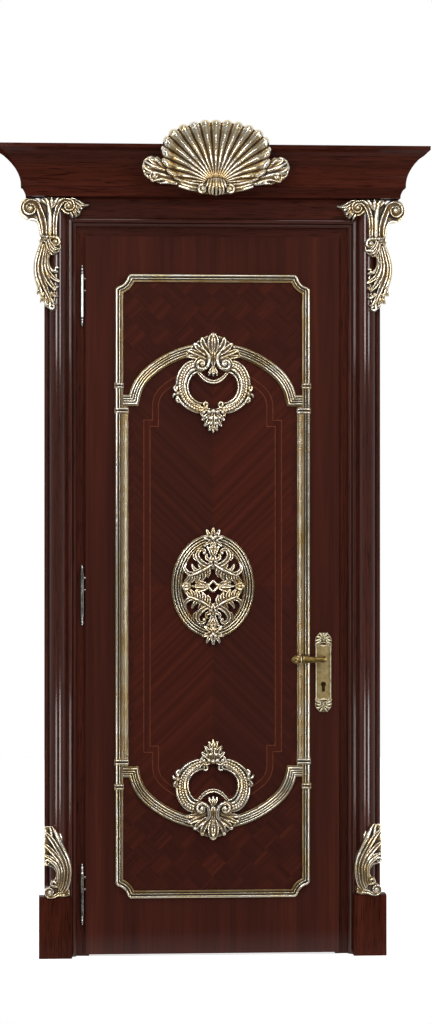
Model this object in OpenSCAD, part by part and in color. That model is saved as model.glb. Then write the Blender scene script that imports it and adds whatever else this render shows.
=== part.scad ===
// Carved mahogany door leaf with gilt ornament, in its frame with pilasters, capitals and a shell cornice
// Axes: X to the right, Y into the wall, Z up. Origin: floor, middle of the opening, front face of the wall

/* [Leaf] */
// Width of the leaf over its lips
leaf_w = 850; // [780:1:950]
// Height of the leaf
leaf_h = 2400; // [2350:1:2500]
// Thickness of the leaf
leaf_t = 50; // [48:1:56]
// Gap between the floor and the leaf
floor_gap = 7; // [4:1:12]
// How far the lip stands past the body of the leaf
lip = 15; // [12:1:18]
// Thickness of the lip
lip_t = 15; // [13:1:16]

/* [Frame] */
// Depth of the jambs, equal to the wall's thickness
wall_t = 110; // [90:1:160]
// Jamb face left visible around the leaf
reveal = 32; // [26:1:40]
// Depth of the stop behind the leaf
stop_w = 13; // [10:1:16]
// Width of the half-round pilasters with their outer fillet
pilaster_w = 76; // [70:1:90]
// How far the half round stands out from its fillets
pilaster_bulge = 24; // [16:1:28]
// Height of the plinth blocks
plinth_h = 205; // [160:1:260]
// Width of the plain boards at the back
rear_casing_w = 110; // [80:1:130]

/* [Cornice] */
// Height of the frieze between the bead and the cornice
frieze_h = 64; // [50:1:90]
// Height of the crown
crown_h = 164; // [150:1:190]
// How far the crown springs out over its foot
crown_out = 93; // [80:1:105]
// How far the foot of the crown stands from the wall
crown_foot = 75; // [70:1:90]
// How far the foot of the crown passes the pilasters at each side
crown_side = 58; // [50:1:70]

/* [Gilt mouldings] */
// Distance from the leaf's side edges to the gilt frame
panel_side = 97.5; // [88:0.5:110]
// Distance from the leaf's top edge to the gilt frame
panel_top = 126; // [110:1:150]
// Distance from the leaf's bottom edge to the gilt frame
panel_bottom = 186; // [150:1:200]
// Width of the outer gilt moulding
gilt_w = 27; // [22:1:30]
// Relief of the outer gilt moulding
gilt_h = 14; // [10:1:17]
// Radius of the scooped corners
scoop_r = 42; // [34:1:50]
// Width of the arch moulding
arch_w = 38; // [32:1:42]
// Relief of the arch moulding
arch_h = 18; // [14:1:20]
// Rise of the arch from its ears to its crown, as a share of its half width
arch_share = 0.733; // [0.7:0.001:0.78]
// Width of each inlaid line
inlay_w = 3; // [2:0.5:4]

/* [Hardware] */
// Distance of the spindle from the leaf's faceplate
backset = 38; // [36:1:42]
// Height of the spindle above the floor
spindle_z = 992; // [940:1:1050]
// Width of the front handle plate
plate_w = 53; // [46:1:54]
// Height of the handle plates
plate_h = 265; // [255:1:275]
// Length of the lever from the spindle
lever_len = 112; // [95:1:125]
// Diameter of the hinge barrels
barrel_d = 14; // [12:1:15]
// Length of one hinge half
barrel_half = 72; // [60:1:80]
// Distance of the outer hinges from the leaf's ends
hinge_inset = 200; // [170:1:260]

/* [Hidden] */

wood = [0.30, 0.15, 0.12];
wood_back = [0.36, 0.20, 0.15];
gilt = [0.78, 0.72, 0.56];
brass = [0.66, 0.54, 0.30];
steel = [0.72, 0.72, 0.74];
dark = [0.15, 0.14, 0.14];

far = 4000;
fit = 0.05;
slip = 0.5;
seat = 0.15;
lip_gap = 2;
edge_gap = 3.5;

leaf_front = -lip_t - lip_gap;
leaf_back = leaf_front + leaf_t;
leaf_mid = (leaf_front + leaf_back) / 2;
leaf_top = floor_gap + leaf_h;
half_w = leaf_w / 2;
body_x = half_w - lip;
body_z = leaf_top - lip;
rebate_x = body_x + edge_gap;
rebate_z = body_z + edge_gap;
seal_t = 2.8;
seal_gap = 0.2;
stop_y = leaf_back + seal_t + seal_gap;
stop_x = rebate_x - stop_w;
stop_z = rebate_z - stop_w;
cover = 18;
casing_x = half_w + reveal;
casing_z = leaf_top + reveal;
jamb_t = casing_x + cover - rebate_x;

bead_w = 30;
bead_r = 8.5;
bead_front = 26.5;
base_t = 18;
pil_x = casing_x + bead_w;
pil_out = pil_x + pilaster_w;
fillet_w = 10;
fillet_t = 24;
quirk = 2;
bulge_w = pilaster_w - fillet_w - 2 * quirk;
bulge_r = (pow(bulge_w / 2, 2) + pow(pilaster_bulge, 2)) / (2 * pilaster_bulge);
bulge_x = pil_x + quirk / 2 + bulge_w / 2;
bulge_y = -base_t - pilaster_bulge + bulge_r;
frieze_z = casing_z + bead_w;
crown_z = frieze_z + frieze_h;
crown_x = pil_out + crown_side;
crown_wall = 22;
board_t = 18;
crown_front = crown_foot + crown_out;
plinth_in = casing_x + 14;
plinth_out = pil_out + 18;
plinth_front = max(58, base_t + pilaster_bulge + 10);
plinth_bevel = 6;
fix_r = 4.5;
fix_low = 500;
fix_span = 1400;
fix_y = (stop_y + wall_t) / 2;

barrel_r = barrel_d / 2;
pin_r = 4;
pin_x = -half_w - barrel_r - 4.5;
pin_y = leaf_front + lip_t / 2;
washer = 3;
finial = 30;
stud_r = 3.5;
stud_len = 50;
frame_stud_r = 4;
frame_stud_len = 55;
hinge_z = [floor_gap + hinge_inset, floor_gap + leaf_h / 2, leaf_top - hinge_inset];

panel_x = half_w - panel_side;
panel_z1 = leaf_top - panel_top;
panel_z0 = floor_gap + panel_bottom;
panel_mid = (panel_z0 + panel_z1) / 2;
strip_w = 17;
strip_h = 11;
strip_x = panel_x - gilt_w - strip_w;
arch_drop = 248;
arch_in = strip_x - arch_w + 0.5;
arch_a = arch_in + arch_w / 2;
arch_rise = arch_a * arch_share;
arch_r1 = arch_a * 0.566;
arch_cx = arch_a - arch_r1;
arch_r2 = (pow(arch_cx, 2) + pow(arch_rise, 2) - pow(arch_r1, 2)) / (2 * (arch_rise - arch_r1));
arch_turn = atan2(arch_r2 - arch_rise, arch_cx);
arch_z = panel_z1 - arch_drop - arch_rise;
line_in = [63, 83];
line_out = [arch_a - 34, arch_a - 55];
line_drop = [46, 67];
inlay_t = 1.2;
tie_t = 12;
tie_h = 17;

oval_a = arch_a * 0.457;
oval_b = oval_a * 1.29;
oval_w = oval_a * 0.3;
oval_h = 20;
oval_r1 = oval_a * 0.87;
carve_k = arch_a / 265;
capital_k = pilaster_w / 76;
shell_k = crown_h / 164;
oval_r2 = (pow(oval_a, 2) + pow(oval_b - oval_r1, 2) - pow(oval_r1, 2)) / (2 * (oval_a - oval_r1));
oval_turn = atan2(oval_b - oval_r1, oval_r2 - oval_a);

face_t = 3;
face_x = body_x - face_t;
face_w = 20;
face_h = 235;
spin_x = body_x - backset;
cyl_z = spindle_z - 85;
plate_z = spindle_z - 45;
latch_z = spindle_z - 20;
bolt_z = spindle_z - 59;
case_w = 62;
case_t = 15;
case_h = 170;
case_z = spindle_z - 45;
case_x = face_x - case_w;
latch_w = 8;
latch_tall = 16;
latch_out = 11;
latch_len = 20;
bolt_tall = 20;
bolt_len = 58;
bolt_throw = 20;
follower_r = 9;
square_w = 8;
journal_r = 8;
plate_t = 5;
boss_t = 4;
neck_out = 44;
cyl_r = 8.5;
cyl_lug = 24.5;
cyl_slot = 10;
cyl_proud = 8;
plug_r = 6.5;
cam_r = 14;
cam_w = 10;
strike_t = 1.6;
strike_h = 150;
strike_w = 21;
strike_y = leaf_mid - latch_w / 2 - 2.5;
strike_z = spindle_z - 42;
screw_r = 2;
head_r = 4;
screw_len = 25;

// Helpers: a block between two corners, sides, mitre wedges and extrusions
module slab(x0, x1, y0, y1, z0, z1) {
  translate([x0, y0, z0]) cube([x1 - x0, y1 - y0, z1 - z0]);
}

module left() {
  mirror([1, 0, 0]) children();
}

module behind() {
  translate([0, 2 * leaf_mid, 0]) mirror([0, 1, 0]) children();
}

module upside() {
  translate([0, 0, 2 * panel_mid]) mirror([0, 0, 1]) children();
}

module wedge(x, z, up) {
  corner = up ? [x - far, z + far] : [x + far, z - far];
  rotate([90, 0, 0]) translate([0, 0, -far]) linear_extrude(2 * far)
    polygon([[x - far, z - far], [x + far, z + far], corner]);
}

module along_x(x0, x1) {
  rotate([90, 0, 90]) translate([0, 0, x0]) linear_extrude(x1 - x0) children();
}

module along_z(z0, z1) {
  translate([0, 0, z0]) linear_extrude(z1 - z0) children();
}

module along_y(y0, y1) {
  translate([0, y1, 0]) rotate([90, 0, 0]) linear_extrude(y1 - y0) children();
}

// Carving helpers: tapered strokes made of short hulls, points are [x, z] and relief grows to the front
module blob(p, w, h) {
  translate([p[0], 0, p[1]]) rotate([90, 0, 0]) cylinder(h = h, r1 = w / 2, r2 = w * 0.24, $fn = 6);
}

module stroke(pts, w, h) {
  for (i = [0 : len(pts) - 2]) {
    hull() {
      blob(pts[i], w[i], h[i]);
      blob(pts[i + 1], w[i + 1], h[i + 1]);
    }
  }
}

module leaf_tip(a, b, wa, wb, ha, hb) {
  stroke([a, b], [wa, wb], [ha, hb]);
}

function curl(c, r0, r1, a0, a1, n) = [for (i = [0 : n])
  let (t = i / n, r = r0 + (r1 - r0) * t, a = a0 + (a1 - a0) * t) c + r * [cos(a), sin(a)]];

function ramp(a, b, n) = [for (i = [0 : n]) a + (b - a) * i / n];

// Jambs
module jamb_side() {
  difference() {
    along_z(0, rebate_z + jamb_t)
      polygon([[rebate_x, 0], [rebate_x + jamb_t, 0], [rebate_x + jamb_t, wall_t], [stop_x, wall_t],
        [stop_x, stop_y], [rebate_x, stop_y]]);
    wedge(rebate_x, rebate_z, true);
    for (z = [fix_low, fix_low + fix_span]) {
      translate([0, fix_y, z]) rotate([0, 90, 0]) cylinder(h = far, r = fix_r, $fn = 48);
    }
  }
}

module hinge_jamb() {
  color(wood) difference() {
    left() jamb_side();
    for (z = hinge_z) {
      translate([pin_x, -1, z - washer / 2 - barrel_half / 2]) rotate([-90, 0, 0])
        cylinder(h = 1 + pin_y + frame_stud_len, r = frame_stud_r, $fn = 48);
    }
  }
}

module strike_blank() {
  slab(rebate_x, rebate_x + strike_t, strike_y, strike_y + strike_w, strike_z - strike_h / 2, strike_z + strike_h / 2);
}

module strike_pockets(depth) {
  for (q = [[latch_z, latch_tall], [bolt_z, bolt_tall]]) {
    slab(rebate_x - 1, rebate_x + depth, leaf_mid - latch_w / 2 - 1, leaf_mid + latch_w / 2 + 1,
      q[0] - q[1] / 2 - 2, q[0] + q[1] / 2 + 2);
  }
}

module strike_screw_set() {
  for (s = [-1, 1]) {
    translate([rebate_x, strike_y + strike_w / 2, strike_z + s * (strike_h / 2 - 10)]) rotate([0, 90, 0]) {
      cylinder(h = strike_t, r = head_r, $fn = 48);
      cylinder(h = screw_len, r = screw_r, $fn = 48);
    }
  }
}

module lock_jamb() {
  color(wood) difference() {
    jamb_side();
    strike_blank();
    strike_pockets(bolt_throw + 8);
    strike_screw_set();
  }
}

module head_jamb() {
  color(wood) difference() {
    along_x(-rebate_x - jamb_t, rebate_x + jamb_t)
      polygon([[0, rebate_z], [0, rebate_z + jamb_t], [wall_t, rebate_z + jamb_t], [wall_t, stop_z],
        [stop_y, stop_z], [stop_y, rebate_z]]);
    wedge(rebate_x, rebate_z, false);
    left() wedge(rebate_x, rebate_z, false);
  }
}

module rebate_seal() {
  color(dark) {
    for (s = [0, 1]) {
      mirror([s, 0, 0]) slab(stop_x + 1, rebate_x - 4, stop_y - seal_t, stop_y, floor_gap, stop_z);
    }
    slab(-stop_x, stop_x, stop_y - seal_t, stop_y, stop_z + 1, rebate_z - 4);
  }
}

module strike_plate() {
  color(steel) difference() {
    strike_blank();
    strike_pockets(strike_t + 1);
    strike_screw_set();
  }
}

module strike_screws() {
  color(steel) strike_screw_set();
}

// Bead moulding around the opening, drawn from its inner edge outwards
module bead_profile() {
  polygon([[0, 0], [0, -14], [4, -14], [6, -15], [9, -18], [11, -21], [bead_w - 2 * bead_r - 1, -16],
    [bead_w, -16], [bead_w, 0]]);
  translate([bead_w - bead_r - 1, -base_t]) circle(r = bead_r, $fn = 64);
}

module bead_side() {
  difference() {
    along_z(0, casing_z + bead_w) translate([casing_x, 0]) bead_profile();
    wedge(casing_x, casing_z, true);
    slab(plinth_in, pil_x + 1, -plinth_front, 1, -1, plinth_h);
  }
}

module bead_left() {
  color(wood) left() bead_side();
}

module bead_right() {
  color(wood) bead_side();
}

module bead_head() {
  color(wood) difference() {
    along_x(-casing_x - bead_w, casing_x + bead_w)
      translate([0, casing_z]) rotate(90) mirror([0, 1]) bead_profile();
    wedge(casing_x, casing_z, false);
    left() wedge(casing_x, casing_z, false);
  }
}

// Pilasters, frieze and plinths
module pilaster_section(grow) {
  translate([pil_x, -base_t]) square([pilaster_w, base_t]);
  translate([pil_out - fillet_w - grow, -fillet_t - grow]) square([fillet_w + 2 * grow, fillet_t + grow]);
  intersection() {
    translate([bulge_x, bulge_y]) circle(r = bulge_r + grow, $fn = grow > 0 ? 48 : 160);
    translate([pil_x, -far]) square([pilaster_w, far - 1]);
  }
}

module pilaster_side() {
  along_z(plinth_h, crown_z) pilaster_section(0);
}

module pilaster_left() {
  color(wood) left() pilaster_side();
}

module pilaster_right() {
  color(wood) pilaster_side();
}

module frieze() {
  color(wood) slab(-pil_x, pil_x, -base_t, 0, frieze_z, crown_z);
}

module plinth_side() {
  along_x(plinth_in, plinth_out)
    polygon([[0, 0], [-plinth_front, 0], [-plinth_front, plinth_h - plinth_bevel],
      [-plinth_front + plinth_bevel, plinth_h], [0, plinth_h]]);
}

module plinth_left() {
  color(wood) left() plinth_side();
}

module plinth_right() {
  color(wood) plinth_side();
}

// Crown profile as [projection, height] from its foot
cove_a = [crown_out * 0.215, crown_h * 0.235];
cove_b = [crown_out * 0.84, crown_h * 0.865];
cove_n = 12;
cove = [for (i = [0 : cove_n]) let (s = i / cove_n)
  [cove_a[0] + (cove_b[0] - cove_a[0]) * pow(s, 2.15), cove_a[1] + (cove_b[1] - cove_a[1]) * s]];
foot_ogee = [for (i = [0 : 5]) let (s = i / 5) [4 + 11 * pow(s, 1.4), 7 + 25 * s]];
crown_face = concat([[0, 0], [4, 0]], foot_ogee, [[cove_a[0], 33]], cove,
  [[crown_out, crown_h * 0.925], [crown_out, crown_h]]);
crown = concat([[-crown_wall, 0]], crown_face, [[-crown_wall, crown_h]]);

module crown_corner(keep_front) {
  corner = keep_front ? [crown_x + far, -crown_foot + far] : [crown_x - far, -crown_foot - far];
  along_z(0, far) polygon([[crown_x + far, -crown_foot - far], [crown_x - far, -crown_foot + far], corner]);
}

module cornice_front() {
  color(wood) difference() {
    along_x(-crown_x - crown_out, crown_x + crown_out)
      polygon([for (q = crown) [-crown_foot - q[0], crown_z + q[1]]]);
    crown_corner(true);
    left() crown_corner(true);
  }
}

module cornice_side() {
  difference() {
    along_y(-crown_front, 0) polygon([for (q = crown) [crown_x + q[0], crown_z + q[1]]]);
    crown_corner(false);
  }
}

module cornice_left() {
  color(wood) left() cornice_side();
}

module cornice_right() {
  color(wood) cornice_side();
}

module cornice_board(z) {
  slab(-crown_x + crown_wall, crown_x - crown_wall, -crown_foot + crown_wall, 0, z, z + board_t);
}

module cornice_soffit() {
  color(wood) cornice_board(crown_z);
}

module cornice_top() {
  color(wood_back) cornice_board(crown_z + crown_h - board_t);
}

// Shell crest: ribs fanning from a point over the frieze, with rolled rim lobes, volutes and side leaves
shell_z = crown_z + 18 * shell_k;
rib_n = 13;
shell_half = 96 * shell_k;
function rim(a) = 150 + 77 * pow(max(sin(a), 0), 0.7);

module shell_ribs() {
  for (i = [0 : rib_n - 1]) {
    a = 14 + 152 * i / (rib_n - 1);
    r = rim(a);
    d = [cos(a), sin(a)];
    stroke([22 * d, 0.62 * r * d, (r - 20) * d], [12, 34, 52], [20, 24, 46]);
  }
}

module shell_side() {
  leaf_tip([80, 18], [228, 48], 40, 12, 30, 14);
  leaf_tip([90, 25], [212, 84], 40, 12, 30, 14);
  leaf_tip([70, 10], [206, 4], 36, 12, 26, 14);
  leaf_tip([10, 26], [18, -16], 14, 18, 34, 30);
  stroke(curl([45, -2], 12, 5, 180, -180, 4), ramp(14, 10, 4), ramp(30, 40, 4));
}

module shell_back() {
  low = [for (q = crown_face) if (q[1] > 22 && q[1] < crown_h * 0.93) [-crown_foot - q[0] - fit, crown_z + q[1]]];
  top = low[len(low) - 1];
  along_x(-shell_half, shell_half) polygon(concat(low, [[-crown_front - 6, top[1]], [-crown_front - 6, low[0][1]]]));
}

module shell_crest() {
  color(gilt) union() {
    translate([0, -crown_front, shell_z]) scale(shell_k) {
      shell_ribs();
      shell_side();
      left() shell_side();
      leaf_tip([0, 26], [0, -18], 14, 18, 36, 32);
    }
    shell_back();
  }
}

// Capital at the right: outer and inner volute, bound stem, knot and hanging acanthus

module capital_form() {
  vol = [93, -45];
  inn = [-36, -36];
  stem = 29;
  knot = [stem + 4, -156];
  stroke(curl(vol, 27, 8, 120, -330, 9), ramp(22, 16, 9), ramp(44, 54, 9));
  stroke(curl(inn, 16, 5, 60, 330, 5), ramp(16, 11, 5), ramp(44, 50, 5));
  leaf_tip(inn + [4, 14], vol + [-24, 14], 22, 26, 44, 48);
  stroke([inn + [-8, 12], inn + [-40, 20], inn + [-70, 9]], [20, 22, 8], [42, 40, 22]);
  for (s = [-16, 0, 16]) {
    leaf_tip([stem - 10, -42], [stem - 10 + 1.4 * s, -9], 12, 17, 46, 52);
  }
  for (s = [-11, 11]) {
    leaf_tip([stem + s, -44], [stem + s, -140], 22, 20, 50, 46);
  }
  leaf_tip(knot + [-22, 4], knot + [22, 6], 22, 22, 52, 52);
  leaf_tip(knot + [12, 0], knot + [32, 16], 20, 10, 46, 34);
  stroke(curl(knot + [-28, -2], 10, 4, 90, -240, 4), ramp(13, 9, 4), ramp(44, 50, 4));
  stroke([knot + [6, -14], knot + [20, -48], knot + [22, -90], knot + [14, -138], knot + [0, -182], knot + [-14, -214]],
    [36, 40, 46, 42, 30, 12], [46, 50, 52, 50, 46, 38]);
  leaf_tip(knot + [12, -76], knot + [-36, -99], 30, 10, 50, 46);
  leaf_tip(knot + [12, -100], knot + [-32, -123], 28, 10, 50, 46);
  leaf_tip(knot + [6, -130], knot + [-27, -143], 26, 10, 48, 44);
  leaf_tip(knot + [2, -156], knot + [-23, -172], 24, 10, 46, 42);
  leaf_tip(knot + [4, -22], knot + [-8, -48], 24, 12, 48, 44);
  leaf_tip(knot + [14, -150], knot + [16, -190], 22, 8, 44, 32);
}

module seat_cut(z0, z1) {
  along_z(z0, z1) pilaster_section(seat);
  slab(casing_x - seat, pil_x + seat, -bead_front - seat, far, z0, z1);
}

module capital_side() {
  difference() {
    translate([bulge_x, -base_t, crown_z]) scale(capital_k) capital_form();
    seat_cut(0, frieze_z);
    along_z(0, far) pilaster_section(seat);
    slab(-far, far, -far, far, crown_z, far);
    slab(casing_x - far / 8, pil_x, -bead_front - seat, far, casing_z - 1, frieze_z + seat);
  }
}

module capital_left() {
  color(gilt) left() capital_side();
}

module capital_right() {
  color(gilt) capital_side();
}

// Foot leaf at the right: a tall acanthus rising from a scroll on the plinth
module foot_form() {
  c = [0, 0];
  stroke([c + [0, 10], c + [-24, 40], c + [-33, 92], c + [-25, 140], c + [-7, 185], c + [14, 232]],
    [44, 40, 34, 36, 34, 12], [46, 48, 46, 48, 48, 40]);
  leaf_tip(c + [-20, 146], c + [35, 157], 28, 11, 46, 40);
  leaf_tip(c + [-13, 170], c + [34, 196], 28, 11, 46, 40);
  leaf_tip(c + [-4, 195], c + [33, 234], 26, 11, 46, 40);
  stroke([c + [-30, 105], c + [-6, 100], c + [26, 110]], [28, 18, 9], [44, 46, 40]);
  stroke(curl(c + [20, 19], 13, 4, -150, 210, 5), ramp(16, 11, 5), ramp(44, 50, 5));
  leaf_tip(c + [0, 8], c + [-43, 20], 30, 12, 44, 34);
  leaf_tip(c + [-2, 40], c + [4, 56], 22, 16, 44, 48);
}

module foot_side() {
  difference() {
    translate([bulge_x, -base_t, plinth_h]) scale(capital_k) foot_form();
    seat_cut(0, crown_z);
    slab(-far, far, -far, far, -far, plinth_h);
  }
}

module foot_leaf_left() {
  color(gilt) left() foot_side();
}

module foot_leaf_right() {
  color(gilt) foot_side();
}

// Plain boards at the back
rear_t = 16;
rear_x = stop_x + 9.5;
rear_z = stop_z + 9.5;

module rear_side() {
  difference() {
    slab(rear_x, rear_x + rear_casing_w, wall_t, wall_t + rear_t, 0, rear_z + rear_casing_w);
    wedge(rear_x, rear_z, true);
  }
}

module rear_casing_left() {
  color(wood_back) left() rear_side();
}

module rear_casing_right() {
  color(wood_back) rear_side();
}

module rear_casing_head() {
  color(wood_back) difference() {
    slab(-rear_x - rear_casing_w, rear_x + rear_casing_w, wall_t, wall_t + rear_t, rear_z, rear_z + rear_casing_w);
    wedge(rear_x, rear_z, false);
    left() wedge(rear_x, rear_z, false);
  }
}

// Hinges: a turned half with a finial, pointing up from z = 0
module hinge_half() {
  rotate_extrude($fn = 64)
    polygon([[0, 0], [barrel_r, 0], [barrel_r, barrel_half - 3], [barrel_r - 1, barrel_half], [barrel_r - 2.6, barrel_half + 2],
      [barrel_r - 0.6, barrel_half + 5], [barrel_r - 0.6, barrel_half + 7], [barrel_r - 3, barrel_half + 10],
      [barrel_r - 1.6, barrel_half + 14], [barrel_r - 1.8, barrel_half + 18], [barrel_r - 4, barrel_half + 22],
      [barrel_r - 3.6, barrel_half + 25], [barrel_r - 4.6, barrel_half + 28], [0, barrel_half + finial]]);
}

module at_hinges() {
  for (z = hinge_z) {
    translate([pin_x, pin_y, z]) children();
  }
}

module hinge_frame_halves() {
  color(steel) at_hinges() {
    difference() {
      union() {
        translate([0, 0, -washer / 2]) mirror([0, 0, 1]) hinge_half();
        translate([0, 0, -washer / 2 - barrel_half / 2]) rotate([-90, 0, 0])
          cylinder(h = frame_stud_len, r = frame_stud_r, $fn = 48);
      }
      translate([0, 0, -barrel_half + 12 - washer / 2]) cylinder(h = barrel_half, r = pin_r, $fn = 48);
    }
  }
}

module hinge_pins() {
  color(steel) at_hinges() {
    translate([0, 0, -barrel_half + 12 - washer / 2]) cylinder(h = 2 * barrel_half - 24 + washer, r = pin_r, $fn = 48);
    translate([0, 0, -washer / 2]) cylinder(h = washer, r = barrel_r, $fn = 64);
  }
}

module leaf_studs(r) {
  for (k = [0.22, 0.78]) {
    translate([0, 0, washer / 2 + k * barrel_half]) rotate([0, 90, 0])
      cylinder(h = -half_w - pin_x + stud_len, r = r, $fn = 48);
  }
}

module hinge_leaf_halves() {
  color(steel) at_hinges() {
    difference() {
      union() {
        translate([0, 0, washer / 2]) hinge_half();
        leaf_studs(stud_r);
      }
      cylinder(h = barrel_half - 11.5 + washer / 2, r = pin_r + fit, $fn = 48);
    }
  }
}

// Leaf slab with its lip, mortises and grooves
module lock_screw_set() {
  for (s = [-1, 1]) {
    translate([body_x, leaf_mid, plate_z + s * (face_h / 2 - 8)]) rotate([0, -90, 0]) {
      cylinder(h = face_t, r = head_r, $fn = 48);
      cylinder(h = screw_len, r = screw_r, $fn = 48);
    }
  }
}

lug_screw_z = cyl_z - 19.5;
lug_screw_r = 2.5;

module lug_screw() {
  translate([body_x, leaf_mid, lug_screw_z]) rotate([0, -90, 0]) {
    cylinder(h = face_t, r = head_r, $fn = 48);
    cylinder(h = backset, r = lug_screw_r, $fn = 48);
  }
}

module faceplate_blank() {
  slab(face_x, body_x, leaf_mid - face_w / 2, leaf_mid + face_w / 2, plate_z - face_h / 2, plate_z + face_h / 2);
}

module cyl_section(grow) {
  circle(r = cyl_r + grow, $fn = 64);
  translate([-cyl_slot / 2 - grow, -cyl_lug - grow]) square([cyl_slot + 2 * grow, cyl_lug + grow]);
}

module plate_bolts() {
  for (s = [-1, 1]) {
    translate([spin_x, leaf_front - plate_t, plate_z + s * (plate_h / 2 - 24)]) rotate([-90, 0, 0]) {
      cylinder(h = leaf_t + 2 * plate_t, r = screw_r, $fn = 48);
      translate([0, 0, -2]) cylinder(h = 2, r = head_r, $fn = 48);
      translate([0, 0, leaf_t + 2 * plate_t]) cylinder(h = 2, r = head_r, $fn = 48);
    }
  }
}

module leaf_slab() {
  color(wood) difference() {
    union() {
      slab(-body_x, body_x, leaf_front, leaf_back, floor_gap, body_z);
      slab(-half_w, half_w, leaf_front, leaf_front + lip_t, floor_gap, leaf_top);
    }
    at_hinges() leaf_studs(stud_r);
    faceplate_blank();
    slab(case_x - slip, face_x + slip, leaf_mid - case_t / 2 - slip, leaf_mid + case_t / 2 + slip,
      case_z - case_h / 2 - slip, case_z + case_h / 2 + slip);
    translate([spin_x, leaf_front - 1, spindle_z]) rotate([-90, 0, 0]) cylinder(h = leaf_t + 2, r = journal_r + 2, $fn = 48);
    translate([spin_x, 0, cyl_z]) along_y(leaf_front - 1, leaf_back + 1) cyl_section(slip);
    lock_screw_set();
    lug_screw();
    plate_bolts();
    inlay_form();
  }
}

// Two inlaid lines that follow the panel, with small steps below the arches, butted with hairline joints
module line_quarter(k) {
  off = line_in[k];
  xi = arch_a - off;
  xo = line_out[k];
  zs = arch_z - line_drop[k];
  h = inlay_w / 2;
  translate([arch_cx, 0, arch_z]) line_arc(arch_r1 - off, 0, arch_turn);
  translate([0, 0, arch_z + arch_rise - arch_r2]) line_arc(arch_r2 - off, arch_turn, 90 - arch_turn);
  slab(xi - h, xi + h, leaf_front, leaf_front + inlay_t, zs - h, arch_z - fit);
  slab(xi - h, xo + h, leaf_front, leaf_front + inlay_t, zs - h, zs + h);
  slab(xo - h, xo + h, leaf_front, leaf_front + inlay_t, panel_mid + fit, zs + h);
}

module line_arc(r, a0, a) {
  cut = 2 * fit / r * 180 / PI;
  translate([0, leaf_front + inlay_t, 0]) rotate([90, 0, 0]) rotate([0, 0, a0 + cut])
    rotate_extrude(angle = a - 2 * cut, $fn = 180) translate([r - inlay_w / 2, 0]) square([inlay_w, inlay_t]);
}

module inlay_form() {
  for (k = [0, 1]) {
    union() {
      line_quarter(k);
      left() line_quarter(k);
      upside() line_quarter(k);
      upside() left() line_quarter(k);
    }
  }
}

module inlay_lines() {
  color(gilt) inlay_form();
}

// Gilt mouldings: a section of two beads and a hollow, from [0, 0] over width w and relief h
function moulding(w, h) = [[0, 0], [0, 0.45 * h], [0.1 * w, 0.6 * h], [0.18 * w, 0.6 * h], [0.27 * w, 0.9 * h],
  [0.38 * w, h], [0.5 * w, 0.92 * h], [0.6 * w, 0.62 * h], [0.7 * w, 0.55 * h], [0.78 * w, 0.74 * h],
  [0.87 * w, 0.76 * h], [0.95 * w, 0.6 * h], [w, 0.4 * h], [w, 0]];

module stile_form() {
  along_z(panel_z0, panel_z1) polygon([for (q = moulding(gilt_w, gilt_h)) [panel_x - q[0], leaf_front - q[1]]]);
}

module stile_side() {
  difference() {
    stile_form();
    wedge(panel_x, panel_z1 - scoop_r, true);
    upside() wedge(panel_x, panel_z1 - scoop_r, true);
  }
}

module frame_left() {
  color(gilt) left() stile_side();
}

module frame_right() {
  color(gilt) stile_side();
}

module rail_up() {
  difference() {
    along_x(-panel_x, panel_x) polygon([for (q = moulding(gilt_w, gilt_h)) [leaf_front - q[1], panel_z1 - q[0]]]);
    wedge(panel_x - scoop_r, panel_z1, false);
    left() wedge(panel_x - scoop_r, panel_z1, false);
  }
}

module frame_top() {
  color(gilt) rail_up();
}

module frame_bottom() {
  color(gilt) upside() rail_up();
}

module turned(r, a0, a, w, h) {
  translate([0, leaf_front, 0]) rotate([90, 0, 0]) rotate([0, 0, a0]) rotate_extrude(angle = a, $fn = 144)
    polygon([for (q = moulding(w, h)) [r + q[0], q[1]]]);
}

module scoop() {
  difference() {
    translate([panel_x, 0, panel_z1]) turned(scoop_r, 180, 90, gilt_w, gilt_h);
    wedge(panel_x, panel_z1 - scoop_r, false);
    wedge(panel_x - scoop_r, panel_z1, true);
  }
}

module frame_corners() {
  color(gilt) {
    scoop();
    left() scoop();
    upside() scoop();
    upside() left() scoop();
  }
}

module strip_form() {
  along_z(2 * panel_mid - arch_z, arch_z)
    polygon([for (q = moulding(strip_w, strip_h)) [strip_x + q[0], leaf_front - q[1]]]);
}

module strip_left() {
  color(gilt) left() strip_form();
}

module strip_right() {
  color(gilt) strip_form();
}

module arch_arcs(grow) {
  w = arch_w + 2 * grow;
  h = arch_h + grow;
  cut = grow > 0 ? 0 : fit / arch_r2 * 180 / PI;
  a = arch_turn + cut;
  translate([0, 0, arch_z + arch_rise - arch_r2]) turned(arch_r2 - w / 2, a, 180 - 2 * a, w, h);
  for (s = [0, 1]) {
    mirror([s, 0, 0]) translate([arch_cx, 0, arch_z]) turned(arch_r1 - w / 2, 0, arch_turn, w, h);
  }
}

module ear() {
  difference() {
    along_x(arch_in, panel_x - gilt_w)
      polygon([for (q = moulding(arch_w, arch_h)) [leaf_front - q[1], arch_z + q[0]]]);
    wedge(arch_in + fit, arch_z, true);
  }
}

module arch_form() {
  difference() {
    arch_arcs(0);
    wedge(arch_in, arch_z, false);
    left() wedge(arch_in, arch_z, false);
  }
  ear();
  left() ear();
}

module arch_top() {
  color(gilt) arch_form();
}

module arch_bottom() {
  color(gilt) upside() arch_form();
}

tie_up = arch_z + arch_w + 24;
tie_low = arch_z - 9 - tie_t;

module tie(x0, z) {
  difference() {
    slab(x0, panel_x + 2, leaf_front - tie_h, leaf_front, z, z + tie_t);
    stile_form();
    strip_form();
  }
}

module tie_pair() {
  tie(panel_x - gilt_w - 2, tie_up);
  tie(strip_x - 2, tie_low);
}

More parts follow.
